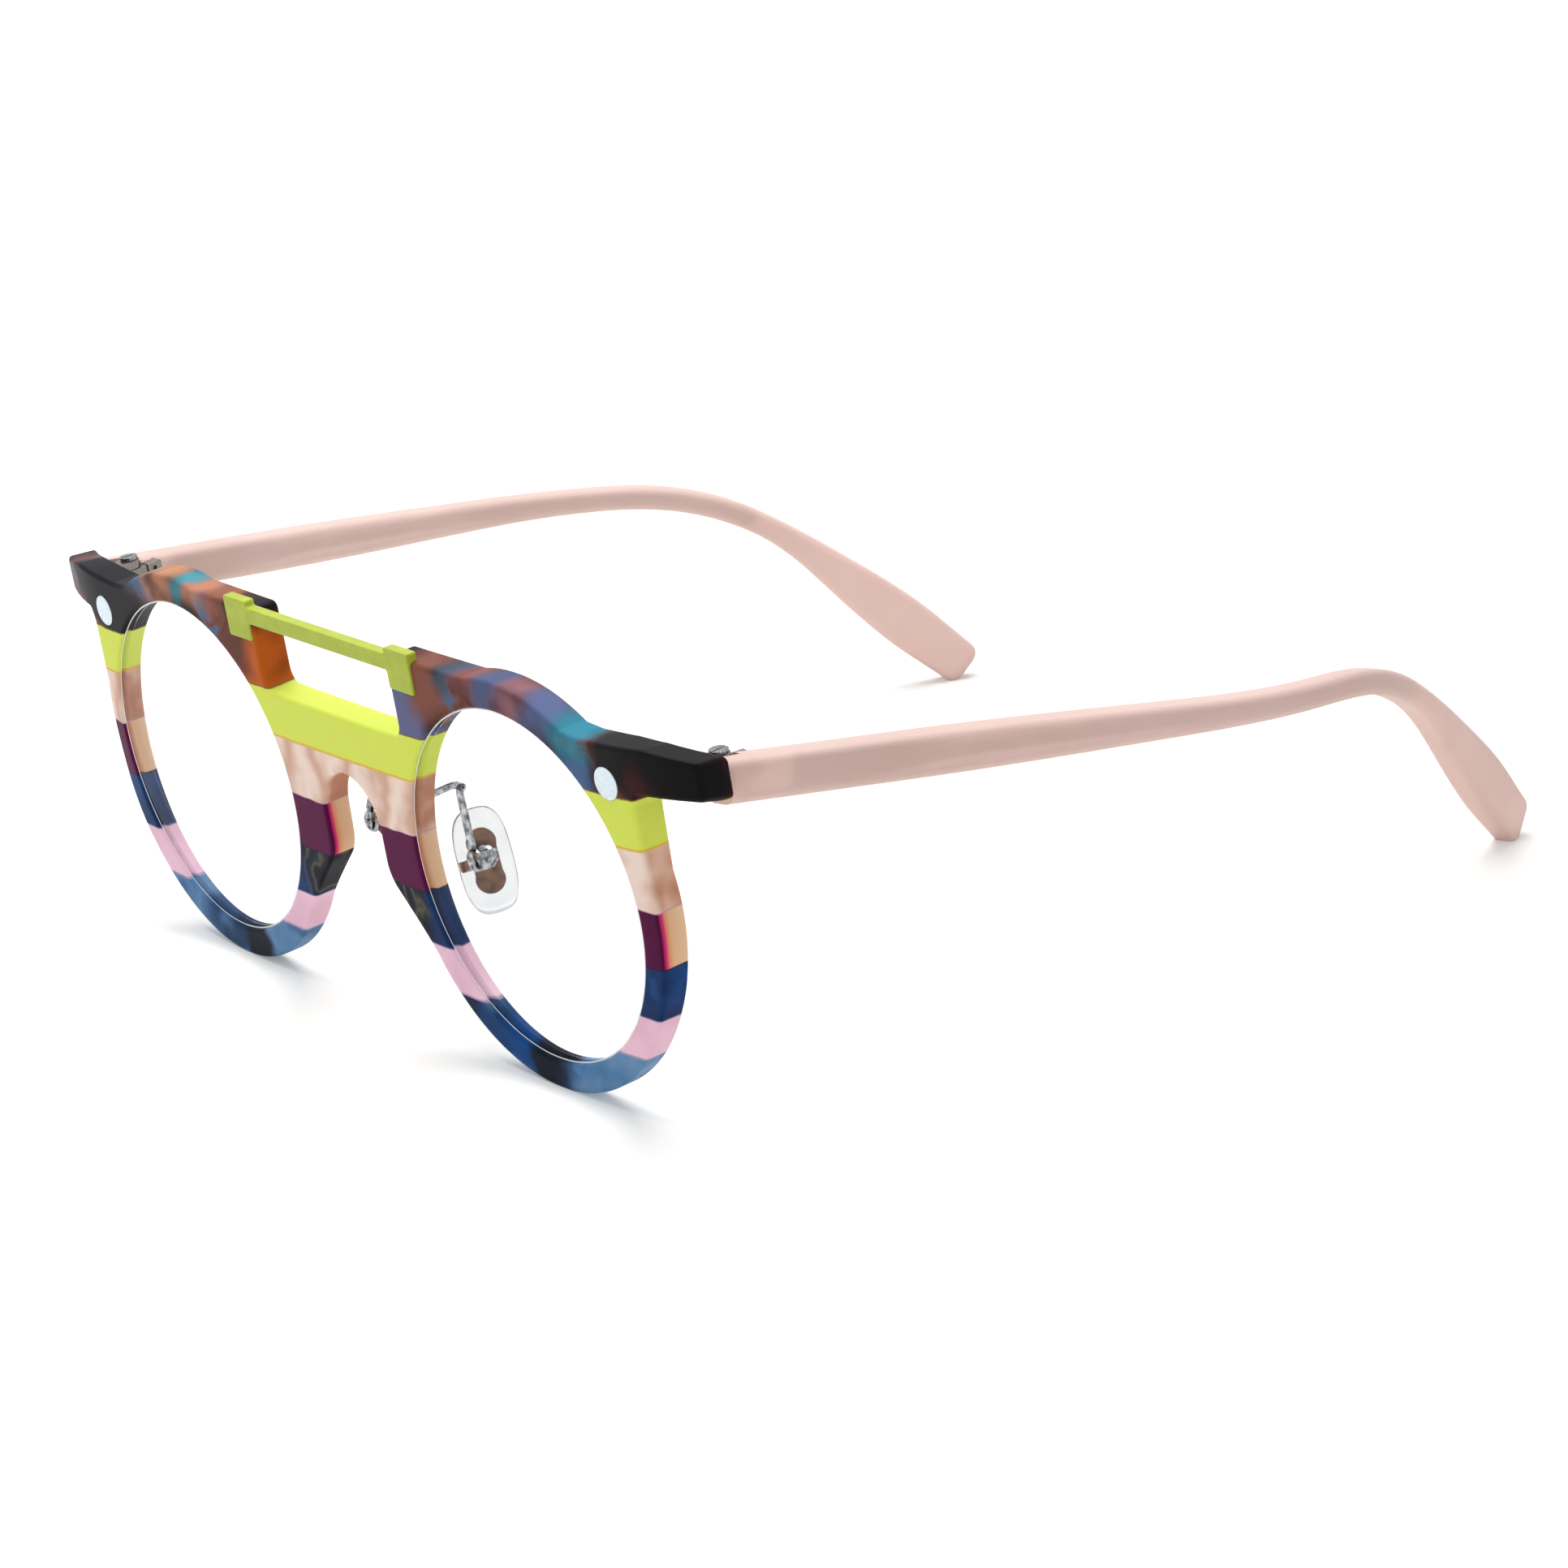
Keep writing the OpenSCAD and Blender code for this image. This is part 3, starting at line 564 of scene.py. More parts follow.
# The marbling's larger patches, roughly from the nose outwards: across, up, reach and colour
LEFT_BROW = (
    (16.5, 17.5, 5, "#5E6288"), (22.5, 21.5, 4.2, "#7C4A3E"), (27, 24, 2.6, "#2E4C5E"),
    (31, 24.5, 2.8, "#7E4A44"), (35.5, 24, 3, "#4A5577"), (40, 23, 3, "#8A5E66"),
    (44.5, 22, 3.2, "#55618A"), (49.5, 20.5, 3.6, "#2F8095"), (49.5, 15.8, 3.6, "#47618C"),
    (57, 20, 4.6, "#151215"), (64, 19, 5.5, "#120F11"), (61, 17.6, 2.4, "#42191A"),
    (67.5, 18, 4.6, "#0E0D0E"))
RIGHT_BROW = (
    (-16.4, 18, 5.6, "#B8581E"), (-20.3, 19.5, 3.3, "#5C342A"), (-18, 16.5, 1.8, "#3A2220"),
    (-15.5, 24, 2.6, "#151014"), (-24.5, 24.2, 2.8, "#8E5540"), (-29.5, 25, 2.6, "#B4775C"),
    (-33.5, 24, 2.2, "#3A93A2"), (-37.5, 24, 2.5, "#B8805F"), (-41.5, 23.2, 2.2, "#A87860"),
    (-45, 22, 2.6, "#44607C"), (-52, 19, 6.5, "#16141A"), (-58, 19.5, 5, "#141218"),
    (-64.5, 18.5, 2.6, "#5A3028"), (-68.5, 18, 2, "#141216"))
LEFT_FOOT = (
    (19, -18.5, 4.6, "#15203C"), (24.5, -21, 4.4, "#123A6B"), (29, -22.5, 3.9, "#0F4380"),
    (34, -23.5, 4.2, "#0A1222"), (37.5, -24.8, 2.6, "#1A3050"))
RIGHT_FOOT = ((-31.5, -23, 4.6, "#0C1322"), (-37, -23.5, 3.8, "#142A4C"), (-42, -22.5, 3.2, "#24466F"))


def tortoise_layer(tree, cloud, stirred):
    """Dark tortoise with browns, mauves and teal running into one another."""
    tortoise = add(tree, "ValToRGB", {"Fac": cloud}, stops=(
        (0.30, "#141113"), (0.42, "#1E181C"), (0.50, "#47201C"),
        (0.56, "#6B3F34"), (0.62, "#555A7C"), (0.70, "#2F6C80"))).outputs[0]
    return patches(tree, tortoise, LEFT_BROW + RIGHT_BROW, stirred, 1.6)


def pearl_layer(tree, folds, depth):
    """Pearl with silky folds on the face, and browner stock behind them."""
    pearl = add(tree, "ValToRGB", {"Fac": folds}, stops=(
        (0.0, "#CFA793"), (0.3, "#DBBCAD"), (0.65, "#E4CABD"), (1.0, "#ECD8CD"))).outputs[0]
    stock = add(tree, "ValToRGB", {"Fac": folds}, stops=(
        (0.0, "#B97F66"), (0.6, "#CFA088"), (1.0, "#DDB8A4"))).outputs[0]
    behind = add(tree, "MapRange", {
        "Value": depth, "From Min": 0.3, "From Max": 1.3}, interpolation_type="SMOOTHSTEP").outputs[0]
    return add(tree, "Mix", {SHARE: behind, UNDER: pearl, OVER: stock}, data_type="RGBA").outputs[MIXED]


def purple_layer(tree, depth):
    """A thin purple skin on clear peach, with a hot pink line between them."""
    deep = add(tree, "MapRange", {"Value": depth, "From Min": 0, "From Max": FRONT_T}).outputs[0]
    return add(tree, "ValToRGB", {"Fac": deep}, stops=(
        (0.0, "#540B3E"), (0.09, "#430833"), (0.12, "#B01E60"), (0.19, "#D23C74"),
        (0.26, "#DC8E68"), (0.4, "#DDB08A"), (1.0, "#E8C8A8"))).outputs[0]


def navy_layer(tree, cloud, folds, across):
    """Navy, with olive and black marbling near the nose."""
    navy = add(tree, "ValToRGB", {"Fac": cloud}, stops=(
        (0.30, "#0D1D3A"), (0.44, "#132B56"), (0.60, "#173463"), (0.75, "#1F4680"))).outputs[0]
    olive = add(tree, "ValToRGB", {"Fac": folds}, stops=(
        (0.05, "#0E1119"), (0.35, "#23242A"), (0.6, "#55513F"),
        (0.8, "#2C2E36"), (1.0, "#131A2C"))).outputs[0]
    off_middle = add(tree, "Math", {0: across}, operation="ABSOLUTE").outputs[0]
    nose = add(tree, "MapRange", {"Value": off_middle, "From Min": 15.5, "From Max": 12.5}).outputs[0]
    return add(tree, "Mix", {SHARE: nose, UNDER: navy, OVER: olive}, data_type="RGBA").outputs[MIXED]


def slate_layer(tree, cloud, stirred):
    """Slate blue with dark and bright blue patches at the feet."""
    slate = add(tree, "ValToRGB", {"Fac": cloud}, stops=(
        (0.30, "#3A5F8C"), (0.44, "#4F7AA6"), (0.60, "#6288B0"), (0.74, "#7096BC"))).outputs[0]
    return patches(tree, slate, LEFT_FOOT + RIGHT_FOOT, stirred, 1.4)


def stacked(tree, height, lowest, bonds):
    """Layers from the foot up: each bond has its height, its thickness and tint, and the layer above it."""
    band = lowest
    for top, thin, tint, upper in bonds:
        for low, high, over in ((top - thin, top, colour(tint)), (top, top + thin, upper)):
            share = add(tree, "MapRange", {
                "Value": height, "From Min": low, "From Max": high},
                interpolation_type="SMOOTHSTEP").outputs[0]
            band = add(tree, "Mix", {SHARE: share, UNDER: band, OVER: over}, data_type="RGBA").outputs[MIXED]
    return band


def front_acetate():
    # Laminated cellulose acetate, milled and tumbled to a satin: soft, broad highlights over seven colours
    look, tree, shader = surface("laminated_acetate_satin", Roughness=0.42, IOR=1.48, Specular_IOR_Level=0.05)
    # The layers lie square to the leaning front
    place = in_leaning_frame(tree)
    across, rearward, up = add(tree, "SeparateXYZ", {0: place}).outputs
    # How deep a point lies behind the bowed face
    square = add(tree, "Math", {0: across, 1: across}, operation="MULTIPLY").outputs[0]
    depth = add(tree, "Math", {
        0: square, 1: -1 / (2 * BOW_R), 2: rearward}, operation="MULTIPLY_ADD").outputs[0]
    # The sheet was milled half a degree askew, and its bonds wander by a tenth of a millimetre or so
    drift = add(tree, "TexNoise", {"Vector": place, "Scale": 1 / WANDER_SIZE, "Detail": 1}).outputs["Fac"]
    askew = add(tree, "Math", {0: across, 1: -SHEET_SLOPE, 2: up}, operation="MULTIPLY_ADD").outputs[0]
    height = add(tree, "Math", {0: drift, 1: BOND_WANDER, 2: askew}, operation="MULTIPLY_ADD").outputs[0]

    # A flow carries the clouds along by a few millimetres, and the patches by half as much
    flow = add(tree, "TexNoise", {
        "Vector": place, "Scale": 1 / SWIRL_SIZE, "Detail": 2, "Roughness": 0.45}).outputs["Color"]
    centred = add(tree, "VectorMath", {0: flow, 1: (0.5, 0.5, 0.5)}, operation="SUBTRACT").outputs[0]
    pushed, stirred = (
        add(tree, "VectorMath", {
            0: centred, 1: (far, far, far), 2: place}, operation="MULTIPLY_ADD").outputs[0]
        for far in (CLOUD_FLOW, PATCH_FLOW))
    cloud = add(tree, "TexNoise", {
        "Vector": pushed, "Scale": 1 / CLOUD_SIZE, "Detail": 2, "Roughness": 0.5}).outputs["Fac"]
    # A wave texture turns by 20 radians over one unit of its scale
    folds = add(tree, "TexWave", {
        "Vector": pushed, "Scale": math.tau / (20 * FOLD_GAP), "Distortion": 6, "Detail": 1.5,
        "Detail Scale": 0.5}, wave_profile="SIN").outputs["Fac"]
    pink = add(tree, "ValToRGB", {"Fac": cloud}, stops=(
        (0.35, "#E2B6CD"), (0.6, "#EBC3D7"), (0.75, "#F0CFDF"))).outputs[0]

    band = stacked(tree, height, slate_layer(tree, cloud, stirred), (
        (-17.55, 0.25, "#A896B8", pink),
        (-11.95, 0.15, "#6A6E9A", navy_layer(tree, cloud, folds, across)),
        (-5.3, 0.15, "#22183E", purple_layer(tree, depth)),
        (1.75, 0.12, "#B48EA6", pearl_layer(tree, folds, depth)),
        (9.05, 0.3, "#DDB040", colour("#D3E15C")),
        (15.1, 0.18, "#7A5A2A", tortoise_layer(tree, cloud, stirred))))
    tree.links.new(band, shader.inputs["Base Color"])
    # Tumbling leaves a grain of a tenth of a millimetre, drawn at half a millimetre so that it shows
    grain(tree, shader, place, 0.5, 0.005)
    return look


def temple_acetate():
    # Milky cellulose acetate, tumbled matte: light passes in, and the wire core shows as a soft shadow
    look, tree, shader = surface(
        "milky_acetate_matte", Roughness=0.5, IOR=1.48, Specular_IOR_Level=0.3, Transmission_Weight=0.3)
    place = in_millimetres(tree)
    clouded(tree, shader, place, 16.67, 2, ((0.35, "#E7C8BF"), (0.65, "#EDD0C8")))
    grain(tree, shader, place, 0.5, 0.004)
    return look


def bar_paint():
    # Metal sprayed with satin lime lacquer: even colour with a faint orange peel
    look, tree, shader = surface("lime_lacquer_on_metal", Roughness=0.38, IOR=1.5, Specular_IOR_Level=0.15)
    place = in_millimetres(tree)
    clouded(tree, shader, place, 2.5, 1, ((0.3, "#A2B138"), (0.7, "#AEBD40")))
    grain(tree, shader, place, 0.35, 0.006)
    return look


def disc_silver():
    # Silver-toned metal, fine blasted: an even cool white with a soft sheen
    look, tree, shader = surface("blasted_silver_disc", Roughness=0.45, Metallic=0.25)
    place = in_millimetres(tree)
    clouded(tree, shader, place, 0.4, 3, ((0.3, "#CFE0EC"), (0.7, "#E3EFF7")))
    grain(tree, shader, place, 0.12, 0.008)
    return look


def lens_resin():
    # Clear, polished lens: its coating takes nearly all of the gloss, which the low index stands for
    look, tree, shader = surface("clear_coated_lens_resin", Roughness=0.0, IOR=1.05, Transmission_Weight=1)
    clouded(tree, shader, in_millimetres(tree), 20, 1, ((0.2, "#FAFCFC"), (0.8, "#FFFFFF")))
    # The front half of its ground bevel scatters white, and the rest is clear
    across, rearward, up = add(tree, "SeparateXYZ", {0: in_leaning_frame(tree)}).outputs
    off_middle = add(tree, "Math", {0: across}, operation="ABSOLUTE").outputs[0]
    aside = add(tree, "Math", {0: off_middle, 1: LENS_X}, operation="SUBTRACT").outputs[0]
    from_axis = add(tree, "CombineXYZ", {0: aside, 2: up}).outputs[0]
    radius = add(tree, "VectorMath", {0: from_axis}, operation="LENGTH").outputs["Value"]
    ring = add(tree, "MapRange", {
        "Value": radius, "From Min": OPENING_R - 0.28, "From Max": OPENING_R - 0.2}).outputs[0]
    # The lens stands turned by the face's turn at its middle
    behind = add(tree, "Math", {
        0: aside, 1: -math.tan(face_turn(LENS_X)), 2: rearward}, operation="MULTIPLY_ADD").outputs[0]
    middle = face_w(LENS_X) + LENS[1]
    ahead = add(tree, "MapRange", {
        "Value": behind, "From Min": middle - 0.35, "From Max": middle - 0.45}).outputs[0]
    ground = add(tree, "Math", {0: ring, 1: ahead}, operation="MULTIPLY").outputs[0]
    clear = add(tree, "MapRange", {"Value": ground, "To Min": 1, "To Max": 0.1}).outputs[0]
    tree.links.new(clear, shader.inputs["Transmission Weight"])
    return look


def pad_silicone():
    # Clear silicone rubber, moulded: glassy with soft, slightly clouded edges
    look, tree, shader = surface("clear_silicone_rubber", Roughness=0.12, IOR=1.3, Transmission_Weight=0.93)
    place = in_millimetres(tree)
    clouded(tree, shader, place, 3.33, 2, ((0.3, "#D9DCDF"), (0.7, "#E3E5E7")))
    grain(tree, shader, place, 2, 0.003)
    return look


def metal(name, dark, light, rough, size, depth, stretch=(1, 1, 1)):
    """A bare metal: its tone drifts a little, and its relief has a grain size and depth in millimetres."""
    look, tree, shader = surface(name, Metallic=1, Roughness=rough)
    pulled = add(tree, "VectorMath", {0: in_millimetres(tree), 1: stretch}, operation="MULTIPLY").outputs[0]
    relief = grain(tree, shader, pulled, size, depth)
    tone = add(tree, "ValToRGB", {"Fac": relief}, stops=((0.35, dark), (0.65, light))).outputs[0]
    tree.links.new(tone, shader.inputs["Base Color"])
    return look


acetate = front_acetate()
milky = temple_acetate()
lime = bar_paint()
silver = disc_silver()
resin = lens_resin()
silicone = pad_silicone()
# Nickel silver, rolled and plated gunmetal: a dark, warm grey
gunmetal = metal("gunmetal_nickel_silver", "#6F6B69", "#8C8681", 0.32, 0.25, 0.004, (1, 4, 1))
# Steel, turned: pale, with fine turning marks
steel = metal("turned_steel", "#66676A", "#9C9DA0", 0.25, 0.25, 0.003)
# Nickel silver wire and cups, polished: bright and mirror-like, softened by handling
nickel = metal("polished_nickel_silver", "#4A4C50", "#B4B6BA", 0.1, 0.8, 0.002)
# Copper-toned plate, rolled: brown, with broad soft highlights under the pad
copper = metal("copper_toned_plate", "#4A2A20", "#8A5A34", 0.3, 1.2, 0.004)
# Steel wire, drawn: dull from the heat it was shot in with
core_wire = metal("drawn_core_wire", "#8C7A74", "#A08C85", 0.5, 0.3, 0.003, (1, 6, 1))

# The front


def front_half():
    """The corners of the front's +X half, from the middle of the bridge out, round and back to the nose."""
    flank_end = Vector((
        ARCH_R + FLANK_R * (1 - math.cos(math.pi / 4)), FLANK_V - FLANK_R * math.sin(math.pi / 4)))
    flare_end = Vector((RIM_X - math.sqrt(RIM_R**2 - FLARE_V**2), FLARE_V))
    knee = flank_end + Vector((FLARE_REACH, -FLARE_REACH))
    crest = math.degrees(math.acos(math.sqrt(RIM_R**2 - BROW_V**2) / RIM_R))
    rim_foot = math.degrees(math.atan2(FLARE_V, flare_end[0] - RIM_X))
    half = [(LOBE_U, BRIDGE_V, LOBE_FOOT_R), (LOBE_U, BROW_V, LOBE_TOP_R)]
    half += arc((RIM_X, 0), RIM_R, 180 - crest, SHOULDER_AT, 24)
    half += SHOULDER
    half += [(END_U, END_TOP_V, END_CORNER_R), (END_U, END_LOW_V, END_CORNER_R)]
    half.append((END_IN_U, END_LOW_V, END_IN_R))
    half += arc((RIM_X, 0), RIM_R, UNDERSIDE_AT, rim_foot, 84)
    for t in (k / 8 for k in range(7, 0, -1)):
        half.append((*((1 - t) ** 2 * flank_end + 2 * t * (1 - t) * knee + t * t * flare_end), 0))
    half += arc((ARCH_R + FLANK_R, FLANK_V), FLANK_R, 225, 180, 8)
    half += arc((0, ARCH_V), ARCH_R, 0, 88, 16)
    return half


def eye(side):
    """A lens opening's outline."""
    turns = [math.tau * i / EYE_STEPS for i in range(EYE_STEPS)]
    return [(side * LENS_X + OPENING_R * math.cos(turn), OPENING_R * math.sin(turn)) for turn in turns]


def bend_front(point):
    """Bows a flat point, thins it downwards, levels the end pieces' tops and slopes their undersides."""
    u, depth, v = point
    depth *= 1 - (1 - FOOT_T / FRONT_T) * max(0, TAPER_V - v) / (TAPER_V + RIM_R)
    level = rise(abs(u), *LEVEL_U) * rise(v, *LEVEL_V)
    under = rise(abs(u), *UNDER_U) * rise(v, *UNDER_V)
    v += under * (FRONT_T - depth) * math.tan(math.radians(UNDER_SLOPE)) - level * depth * math.tan(LEAN)
    return u, face_w(u) + depth, v


def lens_groove():
    wall, floor = OPENING_R, OPENING_R + GROOVE_DEPTH
    groove = turned((
        (wall - 1, -GROOVE_HALF), (wall, -GROOVE_HALF), (floor, -GROOVE_FLOOR_HALF),
        (floor, GROOVE_FLOOR_HALF), (wall, GROOVE_HALF), (wall - 1, GROOVE_HALF)), EYE_STEPS)
    return reshape(groove, lambda p: set_in_front(p, LENS))


def disc_seat():
    radius, depth = DISC_R + SEAT_FIT, DISC_T + SEAT_FIT
    seat = turned(((0, -3), (radius, -3), (radius, depth), (0, depth)))
    return reshape(seat, lambda p: set_in_front(p, RIVET))


def tab_recess():
    rear = BAR_T - BAR_PROUD + BAR_FIT
    return block((TAB_IN - BAR_FIT, -4, TAB_LOW - BAR_FIT), (TAB_OUT + BAR_FIT, rear, TAB_TOP + 2))


def strip_recess():
    rear = BAR_T - BAR_PROUD + BAR_FIT
    return block((LOBE_U - 2, -4, BAR_LOW - BAR_FIT), (TAB_IN + 0.5, rear, BAR_TOP + BAR_FIT))


def make_front():
    front = plate([both_halves(front_half()), eye(1), eye(-1)], FRONT_T, FRONT_EDGE)
    slice_across(front, range(-70, 71, 2), (1, 0, 0))
    slice_across(front, [TAPER_V], (0, 0, 1))
    reshape(front, bend_front)
    for side in (1, -1):
        for tool in (lens_groove(), disc_seat(), tab_recess(), strip_recess()):
            if side < 0:
                flip_across(tool)
            cut(front, tool)
    reshape(front, leaning)
    finish(front, "front", "front", acetate, "front_frame")


def make_brow_bar():
    half = [(u, v, BAR_CORNER_R) for u, v in (
        (TAB_IN, BAR_LOW), (TAB_IN, TAB_LOW), (TAB_OUT, TAB_LOW),
        (TAB_OUT, TAB_TOP), (TAB_IN, TAB_TOP), (TAB_IN, BAR_TOP))]
    bar = plate([both_halves(half)], BAR_T, BAR_EDGE)
    reshape(bar, lambda p: leaning((p[0], p[1] - BAR_PROUD, p[2])))
    finish(bar, "painted_brow_bar", "front", lime, "brow_bar")


def make_rivets():
    """Softly domed discs, with the shanks that go through the front."""
    shank_end = FRONT_T - 0.05
    rivet = turned((
        (0, -0.15), (1.2, -0.14), (1.8, -0.1), (1.95, -0.03), (DISC_R, 0.06), (DISC_R, DISC_T),
        (SHANK_R, DISC_T), (SHANK_R, shank_end), (0, shank_end)), 64)
    reshape(rivet, lambda p: leaning(set_in_front(p, RIVET)))
    finish_pair(rivet, "disc_rivet", FRONT, silver, "rivet")


def make_lenses():
    """Curved lenses of even thickness, with a bevelled edge that sits in the groove."""
    face = []
    rim_depth = LENS_FACE_R - math.sqrt(LENS_FACE_R**2 - LENS_R**2)
    for radius in (LENS_R * i / 14 for i in range(15)):
        depth = LENS_FACE_R - math.sqrt(LENS_FACE_R**2 - radius**2)
        face.append((radius, -LENS_T / 2 - rim_depth + depth))
    rim = [(LENS_R, -0.75), (LENS_R + 0.7, -0.15), (LENS_R + 0.7, 0.15), (LENS_R, 0.75)]
    back = [(radius, height + LENS_T) for radius, height in reversed(face)]
    lens = turned(face + rim + back, EYE_STEPS)
    reshape(lens, lambda p: leaning(set_in_front(p, LENS)))
    finish_pair(lens, "clear_lens", FRONT, resin, "lens")


# The temples


def ways_at(length):
    """The ways along, outward and upward at a length along the temple."""
    share = length / TEMPLE_L
    heading = math.radians(blend(HEADING_OUT, -HEADING_IN, share, *TURN_IN))
    slope = math.radians(blend(-SLOPE_START, -SLOPE_END, share, *BEND_DOWN))
    level = math.cos(slope)
    along = Vector((math.sin(heading) * level, math.cos(heading) * level, math.sin(slope)))
    outward = Vector((math.cos(heading), -math.sin(heading), 0))
    return along, outward, outward.cross(along)


def half_height(length):
    share = length / TEMPLE_L
    if share < NARROW[1]:
        return blend(BUTT_HALF_H, WAIST_HALF_H, share, *NARROW)
    if share < WIDEN[1]:
        return blend(WAIST_HALF_H, TIP_HALF_H, share, *WIDEN)
    return blend(TIP_HALF_H, END_HALF_H, share, WIDEN[1], 1)


def places_along(lengths, steps=4):
    """Where the middle line lies at each length."""
    spot = TEMPLE_START + lengths[0] * ways_at(0)[0]
    spots = [spot]
    for before, after in zip(lengths, lengths[1:]):
        for k in range(steps):
            between = before + (after - before) * (k + 0.5) / steps
            spot = spot + ways_at(between)[0] * (after - before) / steps
        spots.append(spot)
    return spots


def section(spot, length, half_t, half_h, edge, steps):
    """A rectangle with round corners across the temple."""
    _, outward, upward = ways_at(length)
    ring = []
    for quarter in range(4):
        for i in range(steps + 1):
            turn = math.radians(90 * quarter + 90 * i / steps)
            wide = (1 if quarter in (0, 3) else -1) * (half_t - edge) + edge * math.cos(turn)
            high = (1 if quarter < 2 else -1) * (half_h - edge) + edge * math.sin(turn)
            ring.append(spot + outward * wide + upward * high)
    return ring


def make_temples():
    tip_start = TEMPLE_L - TIP_ROUND
    lengths = [BUTT_LENGTH + i * (tip_start - BUTT_LENGTH) / 72 for i in range(73)]
    lengths += [tip_start + TIP_ROUND * math.sin(math.radians(turn)) for turn in range(15, 91, 15)]
    rings = []
    for length, spot in zip(lengths, places_along(lengths)):
        # The tip is drawn in along a quarter of a circle
        past = max(0, length - tip_start)
        drawn = TIP_ROUND - math.sqrt(max(0, TIP_ROUND**2 - past**2))
        half_t = blend(HALF_T, TIP_HALF_T, length, 0, TEMPLE_L) - 0.5 * drawn
        edge = TEMPLE_EDGE * (1 - 0.35 * drawn / TIP_ROUND)
        rings.append(section(spot, length, half_t, half_height(length) - drawn, edge, 5))
    temple = swept(rings)
    # The butt lies along the end piece's swept rear
    turn = face_turn(BUTT_U)
    behind = upright((END_U, face_w(END_U) + FRONT_T + BUTT_GAP, 0))
    trim(temple, behind, upright((math.sin(turn), -math.cos(turn), 0)))
    # Its inner half stops behind the knuckles, and the housing is let into it
    cut(temple,
        reshape(block(*KNUCKLE_ROOM), at_hinge),
        reshape(block(*HOUSING_ROOM), lambda p: at_hinge(p, HEADING_OUT)))
    reshape(temple, standing)
    finish_pair(temple, "milky_temple", TEMPLES, milky, "temple")


def make_cores():
    """A blade that narrows to a thin wire."""
    lengths = [CORE_START + i * CORE_STEP for i in range(CORE_STEPS + 1)]
    rings = []
    for length, spot in zip(lengths, places_along(lengths)):
        half_h = blend(CORE_HALF_H, CORE_WIRE_HALF_H, length, *CORE_NARROW)
        rings.append(section(spot, length, CORE_HALF_T, half_h, CORE_EDGE, 2))
    core = reshape(swept(rings), standing)
    finish_pair(core, "wire_core", TEMPLES, core_wire, "temple_core")


def make_hinges():
    dress_pair("front_hinge", "_plated", 0.1, FRONT, gunmetal)
    dress_pair("hinge_screw", "_plated", 0.06, FRONT, steel)
    dress_pair("temple_hinge", "_plated", 0.12, TEMPLES, gunmetal)


# The nose pads


def grooved_wire(places, half_w, half_t):
    """A flattened wire with a groove along one face; its width lies along X."""
    outline = (
        (-1, -0.5), (-0.8, -1), (0.8, -1), (1, -0.5), (1, 0.5), (0.8, 1),
        (0.45, 1), (0.3, 0.1), (-0.3, 0.1), (-0.45, 1), (-0.8, 1), (-1, 0.5))
    rings = []
    for i, spot in enumerate(places):
        along = (places[min(i + 1, len(places) - 1)] - places[max(i - 1, 0)]).normalized()
        wide = (Vector((1, 0, 0)) - along * along[0]).normalized()
        thick = wide.cross(along)
        rings.append([spot + wide * across * half_w + thick * out * half_t for across, out in outline])
    return swept(rings)


def curved(points, steps=5):
    """Points along a smooth line through the given ones."""
    line = []
    last = len(points) - 1
    for i in range(last):
        a, b, c, d = (points[min(max(k, 0), last)] for k in (i - 1, i, i + 1, i + 2))
        for t in (k / steps for k in range(steps)):
            line.append(0.5 * (
                2 * b + (c - a) * t + (2 * a - 5 * b + 4 * c - d) * t * t + (3 * b - a - 3 * c + d) * t**3))
    return line + [points[last]]


def make_pad_arms():
    """Bent wires with an eyelet at the bend."""
    arm = grooved_wire(curved([Vector(point) for point in ARM_ROUTE]), ARM_HALF_W, ARM_HALF_T)
    reshape(arm, standing)
    eyelet = turned(((0.16, -0.75), (0.42, -0.75), (0.5, -0.66), (0.5, 0.66), (0.42, 0.75), (0.16, 0.75)), 32)
    reshape(eyelet, lambda p: standing(EYELET + Vector((p[2], p[0], p[1]))))
    alone(arm)
    eyelet.select_set(True)
    bpy.ops.object.join()
    finish_pair(arm, "nose_pad_arm", FRONT, nickel, "pad_arm")


def make_pad_cups():
    """Cups with a rounded front, slotted for the lugs."""
    cup = turned((
        (0, -1.3), (0.8, -1.3), (1.15, -1.22), (1.4, -1.0), (1.5, -0.7),
        (1.5, 1.18), (1.4, 1.3), (0.48, 1.3), (0.48, -0.9), (0, -0.9)))
    reshape(cup, lambda p: (p[0], p[2], -p[1]))
    cut(cup, block((-4, -CUP_SLOT_HALF, -4), (0.93, CUP_SLOT_HALF, 4)))
    reshape(cup, lambda p: standing(PIVOT + p))
    finish_pair(cup, "pad_cup", FRONT, nickel, "pad_box")
    dress_pair("pad_screw", "_turned", 0.08, FRONT, steel)


def pad_shape(point):
    """A ball drawn out to a soft oval pillow: thickness along X, width along Y, length along Z."""
    across = math.hypot(point[1], point[2])
    grow = 1 / (abs(point[0]) ** PAD_SQUARE + across**PAD_SQUARE) ** (1 / PAD_SQUARE)
    turn = math.atan2(point[1], point[2])
    long = math.copysign(abs(math.cos(turn)) ** PAD_OVAL, math.cos(turn))
    wide = math.copysign(abs(math.sin(turn)) ** PAD_OVAL, math.sin(turn))
    spot = Vector((PAD_HALF[0] * point[0], PAD_HALF[1] * wide * across, PAD_HALF[2] * long * across)) * grow
    for axis, degrees in PAD_TURNS:
        spot.rotate(Matrix.Rotation(math.radians(degrees), 3, axis))
    return standing(PAD_MIDDLE + spot)


